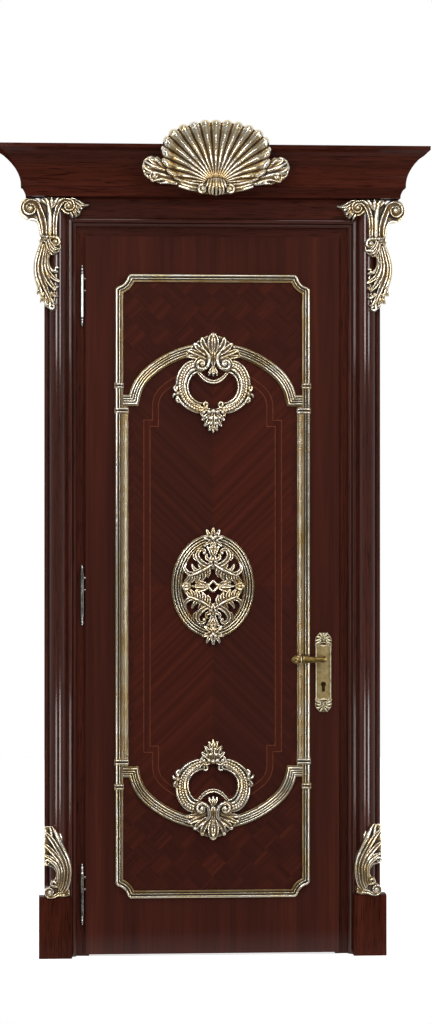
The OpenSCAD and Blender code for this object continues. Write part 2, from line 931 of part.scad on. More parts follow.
module ribbon_ties() {
  color(gilt) {
    tie_pair();
    left() tie_pair();
    upside() tie_pair();
    upside() left() tie_pair();
  }
}

// Wreath over the arch's crown: palmette, volutes, leafy ring, swag and drop
module wreath_side() {
  stroke([[4, -40], [58, -38], [98, -66], [107, -120], [98, -160], [72, -188], [42, -202], [22, -178]],
    [20, 28, 40, 43, 40, 34, 24, 11], [24, 26, 28, 30, 30, 28, 26, 24]);
  stroke([[62, -52], [48, -80], [28, -98], [0, -108]], [12, 14, 17, 19], [24, 25, 27, 28]);
  stroke(curl([34, -46], 11, 4, 90, 450, 4), ramp(13, 9, 4), ramp(26, 31, 4));
  leaf_tip([6, -12], [45, 46], 20, 16, 27, 30);
  leaf_tip([10, -16], [70, 22], 20, 12, 27, 28);
  leaf_tip([44, -202], [4, -212], 22, 22, 26, 27);
  leaf_tip([4, -206], [32, -236], 18, 14, 26, 24);
  leaf_tip([102, -78], [124, -58], 26, 10, 27, 20);
}

module wreath_form() {
  wreath_side();
  left() wreath_side();
  leaf_tip([0, -34], [0, 52], 22, 20, 28, 32);
  leaf_tip([0, -198], [0, -272], 26, 12, 28, 24);
}

module wreath_seated() {
  difference() {
    translate([0, leaf_front, arch_z + arch_rise]) scale([carve_k, 1, carve_k]) wreath_form();
    arch_arcs(seat);
  }
}

module wreath_top() {
  color(gilt) wreath_seated();
}

module wreath_bottom() {
  color(gilt) upside() wreath_seated();
}

// Medallion: an oval ring glued up from four turned arcs, with a pierced carving inside it
module medallion_ring() {
  cut1 = fit / oval_r1 * 180 / PI;
  cut2 = fit / oval_r2 * 180 / PI;
  color(gilt) translate([0, 0, panel_mid]) {
    for (s = [0, 1]) {
      mirror([s, 0, 0]) translate([oval_a - oval_r2, 0, 0])
        turned(oval_r2 - oval_w / 2, cut2 - oval_turn, 2 * (oval_turn - cut2), oval_w, oval_h);
      mirror([0, 0, s]) translate([0, 0, oval_b - oval_r1])
        turned(oval_r1 - oval_w / 2, oval_turn + cut1, 180 - 2 * (oval_turn + cut1), oval_w, oval_h);
    }
  }
}

module tracery() {
  leaf_tip([0, 24], [24, 0], 11, 11, 18, 18);
  stroke([[12, 14], [36, 42], [58, 70], [56, 96], [34, 108], [22, 94]], [14, 16, 16, 14, 12, 8], [18, 20, 20, 18, 16, 14]);
  stroke([[36, 42], [68, 38], [84, 14]], [14, 14, 10], [18, 18, 14]);
  leaf_tip([0, 30], [0, 122], 16, 14, 22, 16);
  leaf_tip([30, 0], [92, 0], 14, 12, 20, 16);
  leaf_tip([0, 60], [18, 74], 12, 8, 18, 14);
}

module crest() {
  z = 156 + 18 + 1.5;
  leaf_tip([0, z + 5], [0, z + 17], 10, 8, 20, 16);
}

module medallion_carving() {
  color(gilt) translate([0, leaf_front, panel_mid]) scale([carve_k, 1, carve_k]) {
    for (a = [0, 1], b = [0, 1]) {
      mirror([a, 0, 0]) mirror([0, 0, b]) tracery();
      mirror([0, 0, b]) crest();
    }
  }
}

// Mortise lock
module lock_case() {
  color(steel) difference() {
    slab(case_x, face_x, leaf_mid - case_t / 2, leaf_mid + case_t / 2, case_z - case_h / 2, case_z + case_h / 2);
    translate([spin_x, leaf_mid - case_t, spindle_z]) rotate([-90, 0, 0])
      cylinder(h = 2 * case_t, r = follower_r + fit, $fn = 64);
    slab(body_x - latch_len - bolt_throw, body_x, leaf_mid - latch_w / 2 - fit, leaf_mid + latch_w / 2 + fit,
      latch_z - latch_tall / 2 - fit, latch_z + latch_tall / 2 + fit);
    slab(body_x - bolt_len - 1, body_x, leaf_mid - latch_w / 2 - fit, leaf_mid + latch_w / 2 + fit,
      bolt_z - bolt_tall / 2 - fit, bolt_z + bolt_tall / 2 + fit);
    translate([spin_x, 0, cyl_z]) along_y(leaf_mid - case_t, leaf_mid + case_t) cyl_section(0.3);
    translate([spin_x, leaf_mid - cam_w / 2 - 0.3, cyl_z]) rotate([-90, 0, 0])
      cylinder(h = cam_w + 0.6, r = cam_r + 0.6, $fn = 64);
    lug_screw();
  }
}

module lock_faceplate() {
  color(brass) difference() {
    faceplate_blank();
    slab(face_x - 1, body_x + 1, leaf_mid - latch_w / 2 - fit, leaf_mid + latch_w / 2 + fit,
      latch_z - latch_tall / 2 - fit, latch_z + latch_tall / 2 + fit);
    slab(face_x - 1, body_x + 1, leaf_mid - latch_w / 2 - fit, leaf_mid + latch_w / 2 + fit,
      bolt_z - bolt_tall / 2 - fit, bolt_z + bolt_tall / 2 + fit);
    lock_screw_set();
    lug_screw();
  }
}

module lock_screws() {
  color(steel) {
    lock_screw_set();
    lug_screw();
  }
}

module lock_cylinder() {
  color(brass) difference() {
    translate([spin_x, 0, cyl_z]) along_y(leaf_front - cyl_proud, leaf_back + cyl_proud) cyl_section(0);
    translate([spin_x, leaf_front - far / 8, cyl_z]) rotate([-90, 0, 0]) cylinder(h = far / 4, r = plug_r + fit, $fn = 64);
    translate([spin_x, leaf_mid - cam_w / 2 - 0.2, cyl_z]) rotate([-90, 0, 0])
      cylinder(h = cam_w + 0.4, r = cam_r + 0.4, $fn = 64);
    lug_screw();
  }
}

module cylinder_plug() {
  key_w = 2.2;
  key_h = 8.5;
  key_d = 24;
  y0 = leaf_front - cyl_proud;
  y1 = leaf_back + cyl_proud;
  color(brass) difference() {
    translate([spin_x, 0, cyl_z]) {
      translate([0, y0, 0]) rotate([-90, 0, 0]) cylinder(h = y1 - y0, r = plug_r, $fn = 64);
      along_y(leaf_mid - cam_w / 2, leaf_mid + cam_w / 2) {
        circle(r = cyl_r, $fn = 64);
        translate([-3, -cam_r + 1]) square([6, cam_r]);
      }
    }
    slab(spin_x - key_w / 2, spin_x + key_w / 2, y0 - 1, y0 + key_d, cyl_z - key_h / 2, cyl_z + key_h / 2);
    slab(spin_x - key_w / 2, spin_x + key_w / 2, y1 - key_d, y1 + 1, cyl_z - key_h / 2, cyl_z + key_h / 2);
  }
}

module latch_bolt() {
  tip = body_x + latch_out;
  back = body_x - latch_len;
  color(brass) along_z(latch_z - latch_tall / 2, latch_z + latch_tall / 2)
    polygon([[back, leaf_mid - latch_w / 2], [tip, leaf_mid - latch_w / 2], [tip, leaf_mid - latch_w / 2 + 3],
      [body_x + 1, leaf_mid + latch_w / 2], [back, leaf_mid + latch_w / 2]]);
}

module dead_bolt() {
  color(brass) slab(body_x - bolt_len, body_x, leaf_mid - latch_w / 2, leaf_mid + latch_w / 2,
    bolt_z - bolt_tall / 2, bolt_z + bolt_tall / 2);
}

// Handle plates and levers
module plate_form(w) {
  y0 = leaf_front - plate_t;
  end = plate_h / 2 - w * 0.62;
  difference() {
    union() {
      slab(spin_x - w * 0.42, spin_x + w * 0.42, y0, leaf_front, plate_z - end, plate_z + end);
      for (s = [-1, 1]) {
        for (q = [[-w * 0.27, end + 2, w * 0.23], [w * 0.27, end + 2, w * 0.23], [0, end + w * 0.22, w * 0.34],
            [0, end + w * 0.62 - 8, 8]]) {
          translate([spin_x + q[0], y0, plate_z + s * q[1]]) rotate([-90, 0, 0]) cylinder(h = plate_t, r = q[2], $fn = 64);
        }
        translate([spin_x + s * w * 0.40, y0, plate_z - end]) cylinder(h = 2 * end, r = w * 0.06, $fn = 32);
      }
      translate([spin_x, y0 - boss_t, spindle_z]) rotate([-90, 0, 0]) cylinder(h = boss_t, r = journal_r + 4, $fn = 64);
    }
    slab(spin_x - w, spin_x + w, leaf_front, leaf_front + far, 0, far);
    translate([spin_x, y0 - boss_t - 1, spindle_z]) rotate([-90, 0, 0])
      cylinder(h = plate_t + boss_t + 2, r = journal_r + fit, $fn = 64);
    translate([spin_x, 0, cyl_z]) along_y(y0 - 10, leaf_front + 1) cyl_section(0.2);
    plate_bolts();
  }
}

rear_plate_w = min(plate_w, 46);

module plate_front() {
  color(brass) plate_form(plate_w);
}

module plate_rear() {
  color(brass) behind() plate_form(rear_plate_w);
}

module plate_screws() {
  color(brass) plate_bolts();
}

module lever_form() {
  y0 = leaf_front - plate_t - boss_t;
  grip_y = y0 - neck_out;
  l = lever_len;
  difference() {
    union() {
      translate([spin_x, leaf_front, spindle_z]) rotate([90, 0, 0]) rotate_extrude($fn = 64)
        polygon([[0, 0], [journal_r, 0], [journal_r, plate_t + boss_t + 0.2], [journal_r + 3, plate_t + boss_t + 0.2],
          [journal_r + 3, plate_t + boss_t + 3], [journal_r, plate_t + boss_t + 6], [journal_r - 1.5, plate_t + boss_t + 14],
          [journal_r - 1, plate_t + boss_t + neck_out - 4], [journal_r - 2, plate_t + boss_t + neck_out + 6],
          [0, plate_t + boss_t + neck_out + 8]]);
      translate([spin_x, grip_y, spindle_z]) rotate([0, -90, 0]) rotate_extrude($fn = 64)
        polygon([[0, -9], [4, -8.5], [7, -6], [8.6, -2], [8.6, 3], [7, 8], [8.2, 12], [7.6, 18], [6.4, l * 0.3], [7.4, l * 0.55],
          [8.4, l * 0.68], [7, l * 0.76], [6, l * 0.79], [8.4, l * 0.83], [8.8, l * 0.88], [6, l * 0.95], [3.4, l * 0.97], [3, l * 0.99], [0, l]]);
    }
    slab(spin_x - square_w / 2, spin_x + square_w / 2, y0 - 12, leaf_front + 1, spindle_z - square_w / 2, spindle_z + square_w / 2);
  }
}

module lever_front() {
  color(brass) lever_form();
}

module lever_rear() {
  color(brass) behind() lever_form();
}

module spindle() {
  y0 = leaf_front - plate_t - boss_t - 12;
  color(steel) {
    slab(spin_x - square_w / 2, spin_x + square_w / 2, y0, 2 * leaf_mid - y0, spindle_z - square_w / 2, spindle_z + square_w / 2);
    translate([spin_x, leaf_mid - case_t / 2, spindle_z]) rotate([-90, 0, 0]) cylinder(h = case_t, r = follower_r, $fn = 64);
  }
}

hinge_jamb();
lock_jamb();
head_jamb();
rebate_seal();
strike_plate();
strike_screws();
bead_left();
bead_right();
bead_head();
pilaster_left();
pilaster_right();
frieze();
plinth_left();
plinth_right();
cornice_front();
cornice_left();
cornice_right();
cornice_soffit();
cornice_top();
shell_crest();
capital_left();
capital_right();
foot_leaf_left();
foot_leaf_right();
rear_casing_left();
rear_casing_right();
rear_casing_head();
hinge_frame_halves();
hinge_pins();
leaf_slab();
inlay_lines();
frame_top();
frame_bottom();
frame_left();
frame_right();
frame_corners();
strip_left();
strip_right();
arch_top();
arch_bottom();
ribbon_ties();
wreath_top();
wreath_bottom();
medallion_ring();
medallion_carving();
hinge_leaf_halves();
lock_case();
lock_faceplate();
lock_screws();
lock_cylinder();
plate_front();
plate_rear();
plate_screws();
lever_front();
lever_rear();
spindle();
latch_bolt();
dead_bolt();
cylinder_plug();
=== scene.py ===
import math

import bpy
import numpy as np
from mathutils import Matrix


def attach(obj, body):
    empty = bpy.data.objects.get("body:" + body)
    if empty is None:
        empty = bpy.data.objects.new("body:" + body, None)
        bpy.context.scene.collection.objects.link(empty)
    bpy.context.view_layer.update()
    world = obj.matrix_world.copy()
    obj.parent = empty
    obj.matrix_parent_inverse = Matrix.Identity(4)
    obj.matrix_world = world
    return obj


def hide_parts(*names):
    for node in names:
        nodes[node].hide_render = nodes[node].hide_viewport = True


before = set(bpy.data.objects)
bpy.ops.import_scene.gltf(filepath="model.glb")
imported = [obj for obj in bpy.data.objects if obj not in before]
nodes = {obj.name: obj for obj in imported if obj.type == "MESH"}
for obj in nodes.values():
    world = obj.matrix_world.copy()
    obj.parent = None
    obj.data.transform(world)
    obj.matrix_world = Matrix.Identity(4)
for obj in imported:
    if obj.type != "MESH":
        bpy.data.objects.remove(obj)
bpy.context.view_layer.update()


# Jambs: two uprights and a head of solid mahogany, rebated for the leaf, mitred and screwed to the wall.
# The wood is stained red-brown, grain-filled and sprayed with clear gloss lacquer, so dark ribbons and
# short pores lie under a smooth reflecting skin.
def linear(code):
    """An sRGB hex colour as linear red, green, blue and alpha."""
    parts = [int(code[i:i + 2], 16) / 255 for i in (1, 3, 5)]
    return [c / 12.92 if c <= 0.04045 else ((c + 0.055) / 1.055) ** 2.4 for c in parts] + [1.0]


def plug(node, sockets):
    """Sets or links a node's sockets; another node stands for its first output."""
    for socket, value in sockets.items():
        if isinstance(value, bpy.types.Node):
            value = value.outputs[0]
        if isinstance(value, bpy.types.NodeSocket):
            node.id_data.links.new(value, node.inputs[socket])
        else:
            node.inputs[socket].default_value = value


def add(tree, kind, sockets=None, stops=None, **settings):
    """Adds a node: its settings, the values or links of its sockets, and the stops of a colour ramp."""
    node = tree.nodes.new("ShaderNode" + kind)
    for key, value in settings.items():
        setattr(node, key, value)
    plug(node, sockets or {})
    if stops:
        ends = node.color_ramp.elements
        ends[0].position, ends[0].color = stops[0][0], linear(stops[0][1])
        ends[1].position, ends[1].color = stops[-1][0], linear(stops[-1][1])
        for place, colour in stops[1:-1]:
            ends.new(place).color = linear(colour)
    return node


def new_finish(name, sockets):
    """A material with its shader's own constants set, and the place on the object that its patterns start from."""
    material = bpy.data.materials.new(name)
    material.use_nodes = True
    shader = material.node_tree.nodes["Principled BSDF"]
    plug(shader, sockets)
    place = add(material.node_tree, "TexCoord").outputs["Object"]
    return material, material.node_tree, shader, place


def dress(material, *names):
    """Gives CAD nodes a material."""
    for name in names:
        for slot in nodes[name].material_slots:
            slot.material = material


def mahogany(name, along, stain, lacquer=0.5):
    """Lacquered mahogany with its grain along an axis: ribbons 40 mm wide, figure 8 mm, pores 2.5 mm.
    Real pores are 0.2 mm wide and are drawn coarser, so that they show."""
    material, tree, shader, place = new_finish(name, {
        "Specular IOR Level": 0.06 * lacquer, "Coat Weight": lacquer, "Coat Roughness": 0.09, "Coat IOR": 1.45})
    seen = []
    for across, length, detail in ((24, 0.8, 3), (125, 3.0, 5), (400, 13, 2)):
        scale = [across, across, across]
        scale[along] = length
        drawn = add(tree, "Mapping", {"Vector": place, "Scale": scale})
        seen.append(add(tree, "TexNoise", {
            "Vector": drawn, "Scale": 1.0, "Detail": detail, "Roughness": 0.6}).outputs["Fac"])
    tone = add(tree, "Mix", {0: 0.42, 2: seen[0], 3: seen[1]})
    wood = add(tree, "ValToRGB", {0: tone}, stops=stain)
    pores = add(tree, "ValToRGB", {0: seen[2]}, stops=[(0.34, "#8c7f7a"), (0.46, "#ffffff")])
    mixed = add(tree, "Mix", {0: 1.0, 6: wood, 7: pores},
                data_type="RGBA", blend_type="MULTIPLY")
    rough = add(tree, "MapRange", {0: seen[1], 1: 0.3, 2: 0.7, 3: 0.52, 4: 0.4})
    bump = add(tree, "Bump", {"Strength": 0.12, "Distance": 0.0004, "Height": seen[2]})
    plug(shader, {"Base Color": mixed.outputs[2], "Roughness": rough, "Normal": bump})
    return material


stain = [(0.30, "#2d120c"), (0.46, "#3d1a11"), (0.58, "#481f15"), (0.74, "#59291b")]
mahogany_upright = mahogany("lacquered_mahogany_upright", 2, stain, 0.3)
mahogany_across = mahogany("lacquered_mahogany_across", 0, stain)
dress(mahogany_upright, "hinge_jamb", "lock_jamb")
dress(mahogany_across, "head_jamb")


# Seal: a soft extruded strip of dark synthetic rubber, pressed into the rebate all round.
# It is matt, with faint lines along its length from the extruder.
seal_rubber, tree, shader, place = new_finish("extruded_rubber",
                                              {"IOR": 1.5, "Specular IOR Level": 0.35, "Roughness": 0.7})
drawn = add(tree, "Mapping", {"Vector": place, "Scale": (500, 500, 4)})
lines = add(tree, "TexNoise", {"Vector": drawn, "Scale": 1.0, "Detail": 3})
shade = add(tree, "ValToRGB", {0: lines}, stops=[(0.3, "#15100e"), (0.7, "#241b18")])
bump = add(tree, "Bump", {"Strength": 0.2, "Distance": 0.0003, "Height": lines})
plug(shader, {"Base Color": shade, "Normal": bump})
dress(seal_rubber, "rebate_seal")


# Strike plate, its screws and the lock's case: pressed steel, plated and lightly brushed along its length.
# The brush marks, a few tenths of a millimetre apart, are drawn at 2 mm so that they show.
lock_steel, tree, shader, place = new_finish("brushed_plated_steel", {"Metallic": 1.0})
drawn = add(tree, "Mapping", {"Vector": place, "Scale": (450, 450, 9)})
marks = add(tree, "TexNoise", {"Vector": drawn, "Scale": 1.0, "Detail": 4})
shade = add(tree, "ValToRGB", {0: marks}, stops=[(0.3, "#8f8d89"), (0.7, "#c5c3be")])
rough = add(tree, "MapRange", {0: marks, 1: 0.3, 2: 0.7, 3: 0.26, 4: 0.42})
plug(shader, {"Base Color": shade, "Roughness": rough})
dress(lock_steel, "strike_plate", "strike_screws", "lock_case", "lock_screws", "spindle")


# Bead mouldings, pilasters, frieze and plinths: planted on the wall around the jambs, with mitred corners.
# They are the same mahogany. The rounds are rubbed to a high gloss and carry long bright reflections; the plinths
# only get a thin coat.
high_gloss_upright = mahogany("high_gloss_mahogany_upright", 2, stain, 1.0)
high_gloss_across = mahogany("high_gloss_mahogany_across", 0, stain, 1.0)
satin_upright = mahogany("satin_mahogany_upright", 2, stain, 0.12)
dress(high_gloss_upright, "bead_left", "bead_right", "pilaster_left", "pilaster_right")
dress(high_gloss_across, "bead_head")
dress(mahogany_across, "frieze")
dress(satin_upright, "plinth_left", "plinth_right")


# Cornice: a run crown moulding mitred round three sides, closed by a soffit board and a dust board on top.
# The grain follows each length, so it turns with the returns at the two ends.
# It hangs high and gets one thin coat; the returns and the soffit are only oiled.
mahogany_cornice = mahogany("satin_mahogany_cornice", 0, stain, 0.16)
mahogany_return = mahogany("oiled_mahogany_return", 1, stain, 0.0)
mahogany_board = mahogany("oiled_mahogany_board", 0, stain, 0.0)
dress(mahogany_cornice, "cornice_front", "cornice_top")
dress(mahogany_board, "cornice_soffit")
dress(mahogany_return, "cornice_left", "cornice_right")


# Shell crest: a scallop with side leaves, carved in limewood, gessoed and laid with silver leaf.
# The leaf is toned with amber lacquer and dark wax, which stays in the hollows while the ridges are rubbed bright;
# the finish also paints the hollows darker as shade, near black in the deepest cuts.
round_cut = [(-0.5, 0.5), (-0.45, 0.27), (-0.34, 0.13), (-0.18, 0.035), (0, 0),
             (0.18, 0.035), (0.34, 0.13), (0.45, 0.27), (0.5, 0.5)]
hollow_cut = [(-0.5, 0.42), (-0.44, 0.12), (-0.34, 0.0), (-0.2, 0.08), (0, 0.2),
              (0.2, 0.08), (0.34, 0.0), (0.44, 0.12), (0.5, 0.42)]


def through(rows, steps=6):
    """A smooth line through rows of numbers."""
    p = np.array(rows, float)
    p = np.vstack([2 * p[0] - p[1], p, 2 * p[-1] - p[-2]])
    t = np.linspace(0, 1, steps, endpoint=False)[:, None]
    spans = [0.5 * (2 * b + (c - a) * t + (2 * a - 5 * b + 4 * c - d) * t ** 2 + (3 * b - a - 3 * c + d) * t ** 3)
             for a, b, c, d in zip(p, p[1:], p[2:], p[3:])]
    return np.vstack(spans + [p[-2:-1]])


def grid_faces(rows, columns, start=0):
    """Quads over a grid of points."""
    return [(start + i * columns + j, start + i * columns + j + 1,
             start + (i + 1) * columns + j + 1, start + (i + 1) * columns + j)
            for i in range(rows - 1) for j in range(columns - 1)]


def gouge(rows, cut=round_cut, steps=6):
    """One carved stroke. A row is x, z, width and relief in millimetres, from the ground of the carving."""
    line = through(rows, steps)
    line[:, 2:] = np.maximum(line[:, 2:], 0.8)
    way = np.gradient(line[:, :2], axis=0)
    way /= np.linalg.norm(way, axis=1)[:, None] + 1e-9
    across = np.array([-0.5] + [c[0] for c in cut] + [0.5])
    drop = np.array([c[1] for c in cut])
    x = line[:, 0:1] - way[:, 1:2] * across * line[:, 2:3]
    z = line[:, 1:2] + way[:, 0:1] * across * line[:, 2:3]
    up = np.maximum(line[:, 3:4] - drop * line[:, 2:3], 0.6)
    ground = np.zeros((len(line), 1))
    y = -np.hstack([ground, up, ground])
    n = len(across)
    faces = grid_faces(len(line), n)
    faces += [(i * n + n - 1, i * n, (i + 1) * n, (i + 1) * n + n - 1) for i in range(len(line) - 1)]
    faces += [tuple(range(n - 1, -1, -1)), tuple(range((len(line) - 1) * n, len(line) * n))]
    return np.stack([x, y, z], axis=2).reshape(-1, 3), faces


def flute(rows):
    """A stroke with raised edges and a hollow face, such as a leaf or the band of a volute."""
    return gouge(rows, hollow_cut)


def curl(x, z, r0, r1, a0, a1, w0, w1, h0, h1, n=16):
    """Rows of a spiral stroke, from radius r0 at a0 degrees to r1 at a1."""
    t = np.linspace(0, 1, n)
    a = np.radians(a0 + (a1 - a0) * t)
    r = r0 + (r1 - r0) * t ** 0.8
    return np.stack([x + r * np.cos(a), z + r * np.sin(a), w0 + (w1 - w0) * t, h0 + (h1 - h0) * t], axis=1).tolist()


def boss(x, z, r, h, n=14):
    """A small dome, such as an eye of a volute or a berry."""
    rings = [(r, 0)] + [(r * math.cos(b), h - r * 0.8 * (1 - math.sin(b))) for b in np.radians([0, 25, 48, 68])]
    turn = np.linspace(0, 2 * math.pi, n, endpoint=False)
    points = [(x + q * math.cos(a), -v, z + q * math.sin(a)) for q, v in rings for a in turn] + [(x, -h, z)]
    faces = [(i * n + j, i * n + (j + 1) % n, (i + 1) * n + (j + 1) % n, (i + 1) * n + j)
             for i in range(len(rings) - 1) for j in range(n)]
    top = len(points) - 1
    faces += [(top - n + j, top - n + (j + 1) % n, top) for j in range(n)] + [tuple(range(n - 1, -1, -1))]
    return np.array(points), faces


def flipped(parts, axis=0):
    """The same strokes on the other side of the middle."""
    turned = []
    for points, faces in parts:
        other = points.copy()
        other[:, axis] *= -1
        turned.append((other, [tuple(reversed(f)) for f in faces]))
    return turned


def carve(name, parts, at, voxel, soften=3):
    """Joins strokes into one carved piece in millimetres from a place, notes how hollow each point is
    against a fine and a broad smoothing of the piece, which the finishes paint darker as shade, and thins the mesh
    where it is even."""
    fine, broad, kept_share = (12, 2.4), (72, 11), 0.56
    points, faces, count = [], [], 0
    for p, f in parts:
        points.append(p)
        faces += [tuple(count + i for i in q) for q in f]
        count += len(p)
    mesh = bpy.data.meshes.new(name)
    mesh.from_pydata(((np.vstack(points) + np.array(at)) / 1000).tolist(), [], faces)
    piece = bpy.data.objects.new(name, mesh)
    bpy.context.collection.objects.link(piece)
    bpy.ops.object.select_all(action="DESELECT")
    piece.select_set(True)
    bpy.context.view_layer.objects.active = piece
    joined = piece.modifiers.new("joined", "REMESH")
    joined.mode, joined.voxel_size, joined.use_smooth_shade = "VOXEL", voxel / 1000, True
    bpy.ops.object.modifier_apply(modifier="joined")
    rubbed = piece.modifiers.new("rubbed", "SMOOTH")
    rubbed.factor, rubbed.iterations = 0.5, soften
    bpy.ops.object.modifier_apply(modifier="rubbed")
    mesh = piece.data
    n = len(mesh.vertices)
    place, edges = np.empty(n * 3), np.empty(len(mesh.edges) * 2, int)
    facing = np.empty(n * 3)
    mesh.vertices.foreach_get("co", place)
    mesh.vertices.foreach_get("normal", facing)
    mesh.edges.foreach_get("vertices", edges)
    place, facing, edges = place.reshape(-1, 3), facing.reshape(-1, 3), edges.reshape(-1, 2)
    ends, others = np.hstack([edges[:, 0], edges[:, 1]]), np.hstack([edges[:, 1], edges[:, 0]])
    links = np.maximum(np.bincount(ends, minlength=n), 1)[:, None]
    spread, values = place, np.full(n, 0.5)
    for turn in range(1, broad[0] + 1):
        mean = np.stack([np.bincount(ends, spread[others, k], n) for k in range(3)], axis=1) / links
        spread = 0.4 * spread + 0.6 * mean
        for turns, depth in (fine, broad):
            if turn == turns:
                values += np.einsum("ij,ij->i", spread - place, facing) * 1000 / voxel / depth
    values = np.clip(0.5 * values + 0.5 * np.bincount(ends, values[others], n) / links[:, 0], 0, 1)
    mesh.attributes.new("hollow", "FLOAT", "POINT").data.foreach_set("value", values.astype(np.float32))
    thinned = piece.modifiers.new("thinned", "DECIMATE")
    thinned.ratio = kept_share
    bpy.ops.object.modifier_apply(modifier="thinned")
    return piece


def gilding(name):
    """Toned silver leaf: the attribute says what is hollow, and the ramps paint the hollows darker, partly as wax and
    partly as painted shade, near black and less metallic in the deepest cuts.
    Patches of amber lacquer are 60 mm wide, and the burnisher's streaks are drawn 4 mm wide so that they show."""
    material, tree, shader, place = new_finish(name, {"Coat Weight": 0.12, "Coat Roughness": 0.2})
    hollow = add(tree, "Attribute", attribute_name="hollow").outputs["Fac"]
    patches = add(tree, "TexNoise", {"Vector": place, "Scale": 17.0, "Detail": 4, "Roughness": 0.6})
    streaks = add(tree, "TexNoise", {"Vector": place, "Scale": 260.0, "Detail": 4, "Roughness": 0.65})
    jitter = add(tree, "MapRange", {0: streaks, 1: 0.3, 2: 0.7, 3: -0.05, 4: 0.05})
    level = add(tree, "Math", {0: hollow, 1: jitter}, operation="ADD")
    # Painted shade: both ramps run from the leaf's own tone on the ridges to near-black brown in the hollows, which
    # stands for shade as well as wax.
    silver = add(tree, "ValToRGB", {0: level}, stops=[
        (0.30, "#f1ebdf"), (0.43, "#cdbfa0"), (0.52, "#9a8259"), (0.62, "#614828"), (0.78, "#24170c")])
    amber = add(tree, "ValToRGB", {0: level}, stops=[
        (0.30, "#e6d4a8"), (0.43, "#b89657"), (0.52, "#86642f"), (0.62, "#523619"), (0.78, "#21140a")])
    share = add(tree, "MapRange", {0: patches, 1: 0.42, 2: 0.64, 3: 0.05, 4: 0.9})
    toned = add(tree, "Mix", {0: share, 6: silver, 7: amber}, data_type="RGBA")
    # Painted shade: the hollows lose metalness, so they read darker still.
    metal = add(tree, "MapRange", {0: level, 1: 0.52, 2: 0.68, 3: 1.0, 4: 0.35})
    rough = add(tree, "MapRange", {0: level, 1: 0.4, 2: 0.66, 3: 0.2, 4: 0.55})
    bump = add(tree, "Bump", {"Strength": 0.25, "Distance": 0.0008, "Height": streaks})
    plug(shader, {"Base Color": toned.outputs[2], "Metallic": metal, "Roughness": rough, "Normal": bump})
    return material


gilt_carving = gilding("toned_silver_leaf_with_painted_shade")


def place_carving(piece, body, *names):
    """Gilds a carving and lets it stand for its CAD nodes."""
    piece.data.materials.append(gilt_carving)
    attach(piece, body)
    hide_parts(*names)


def bed(outline, relief):
    """The block that is left under a group of strokes, from its outline in x and z."""
    x, z = np.array(outline, float).T
    if np.sum(x * np.roll(z, -1) - z * np.roll(x, -1)) < 0:
        x, z = x[::-1], z[::-1]
    n = len(x)
    points = np.vstack([np.stack([x, np.zeros(n), z], axis=1), np.stack([x, np.full(n, -relief), z], axis=1)])
    faces = [(i, (i + 1) % n, n + (i + 1) % n, n + i) for i in range(n)]
    return points, faces + [tuple(range(n - 1, -1, -1)), tuple(range(n, 2 * n))]


def scallop(ribs=19, steps=16):
    """The bowl of the shell: ribs rise from its foot, bend outwards and end in a rolled rim of lobes."""
    angle = np.radians([6, 9.4, 15.3, 22.5, 30, 39, 47, 56, 67, 80, 90])
    reach = [112, 134, 164, 188, 206, 227, 236, 233, 225, 220, 217]
    a = np.linspace(angle[0], math.pi - angle[0], 1200)
    r = np.interp(np.minimum(a, math.pi - a), angle, reach)
    r = np.convolve(np.pad(r, 20, mode="edge"), np.ones(41) / 41, mode="valid")
    run = np.hstack([0, np.cumsum(np.hypot(np.diff(r * np.cos(a)), np.diff(r * np.sin(a))))])
    s = np.linspace(0, 1, ribs * steps + 1)
    a, r = np.interp(s * run[-1], run, a), np.interp(s * run[-1], run, r)
    rib = np.abs(np.sin(math.pi * s * ribs)) ** 0.7
    fine = np.cos(6 * math.pi * s * ribs)
    t = np.linspace(0.1, 1, 60)
    lobe = 1 + 0.07 * (np.sqrt(rib)[:, None] - 0.75) * t ** 4
    out = r[:, None] * t * lobe
    bent = a[:, None] + 0.3 * (math.pi / 2 - a[:, None]) * (1 - t) ** 1.5
    bowl = 30 - 96 * t + 104 * t ** 2 + 6 * np.exp(-((t - 0.9) / 0.07) ** 2)
    relief = bowl + (2 + 12 * t) * (rib[:, None] - 0.7) - 0.9 * t * fine[:, None] * rib[:, None]
    relief = np.where(t > 0.95, relief - 12 * ((t - 0.95) / 0.05) ** 2, relief)
    relief = np.maximum(relief, 4)
    behind = np.where(t < 0.72, 0, np.maximum(relief - 12, 0) * np.clip((t - 0.72) / 0.2, 0, 1))
    front = np.stack([out * np.cos(bent), -relief, out * np.sin(bent)], axis=2).reshape(-1, 3)
    back = np.stack([out * np.cos(bent), -behind, out * np.sin(bent)], axis=2).reshape(-1, 3)
    rows, columns = len(a), len(t)
    n = rows * columns
    faces = [tuple(reversed(f)) for f in grid_faces(rows, columns)] + grid_faces(rows, columns, n)
    rim = [i * columns for i in range(rows)]
    faces += [(p, q, q + n, p + n) for p, q in zip(rim, rim[1:])]
    rim = [i * columns + columns - 1 for i in range(rows)]
    faces += [(q, p, p + n, q + n) for p, q in zip(rim, rim[1:])]
    faces += [(j + 1, j, j + n, j + 1 + n) for j in range(columns - 1)]
    last = (rows - 1) * columns
    faces += [(last + j, last + j + 1, last + j + 1 + n, last + j + n) for j in range(columns - 1)]
    return np.vstack([front, back]), faces


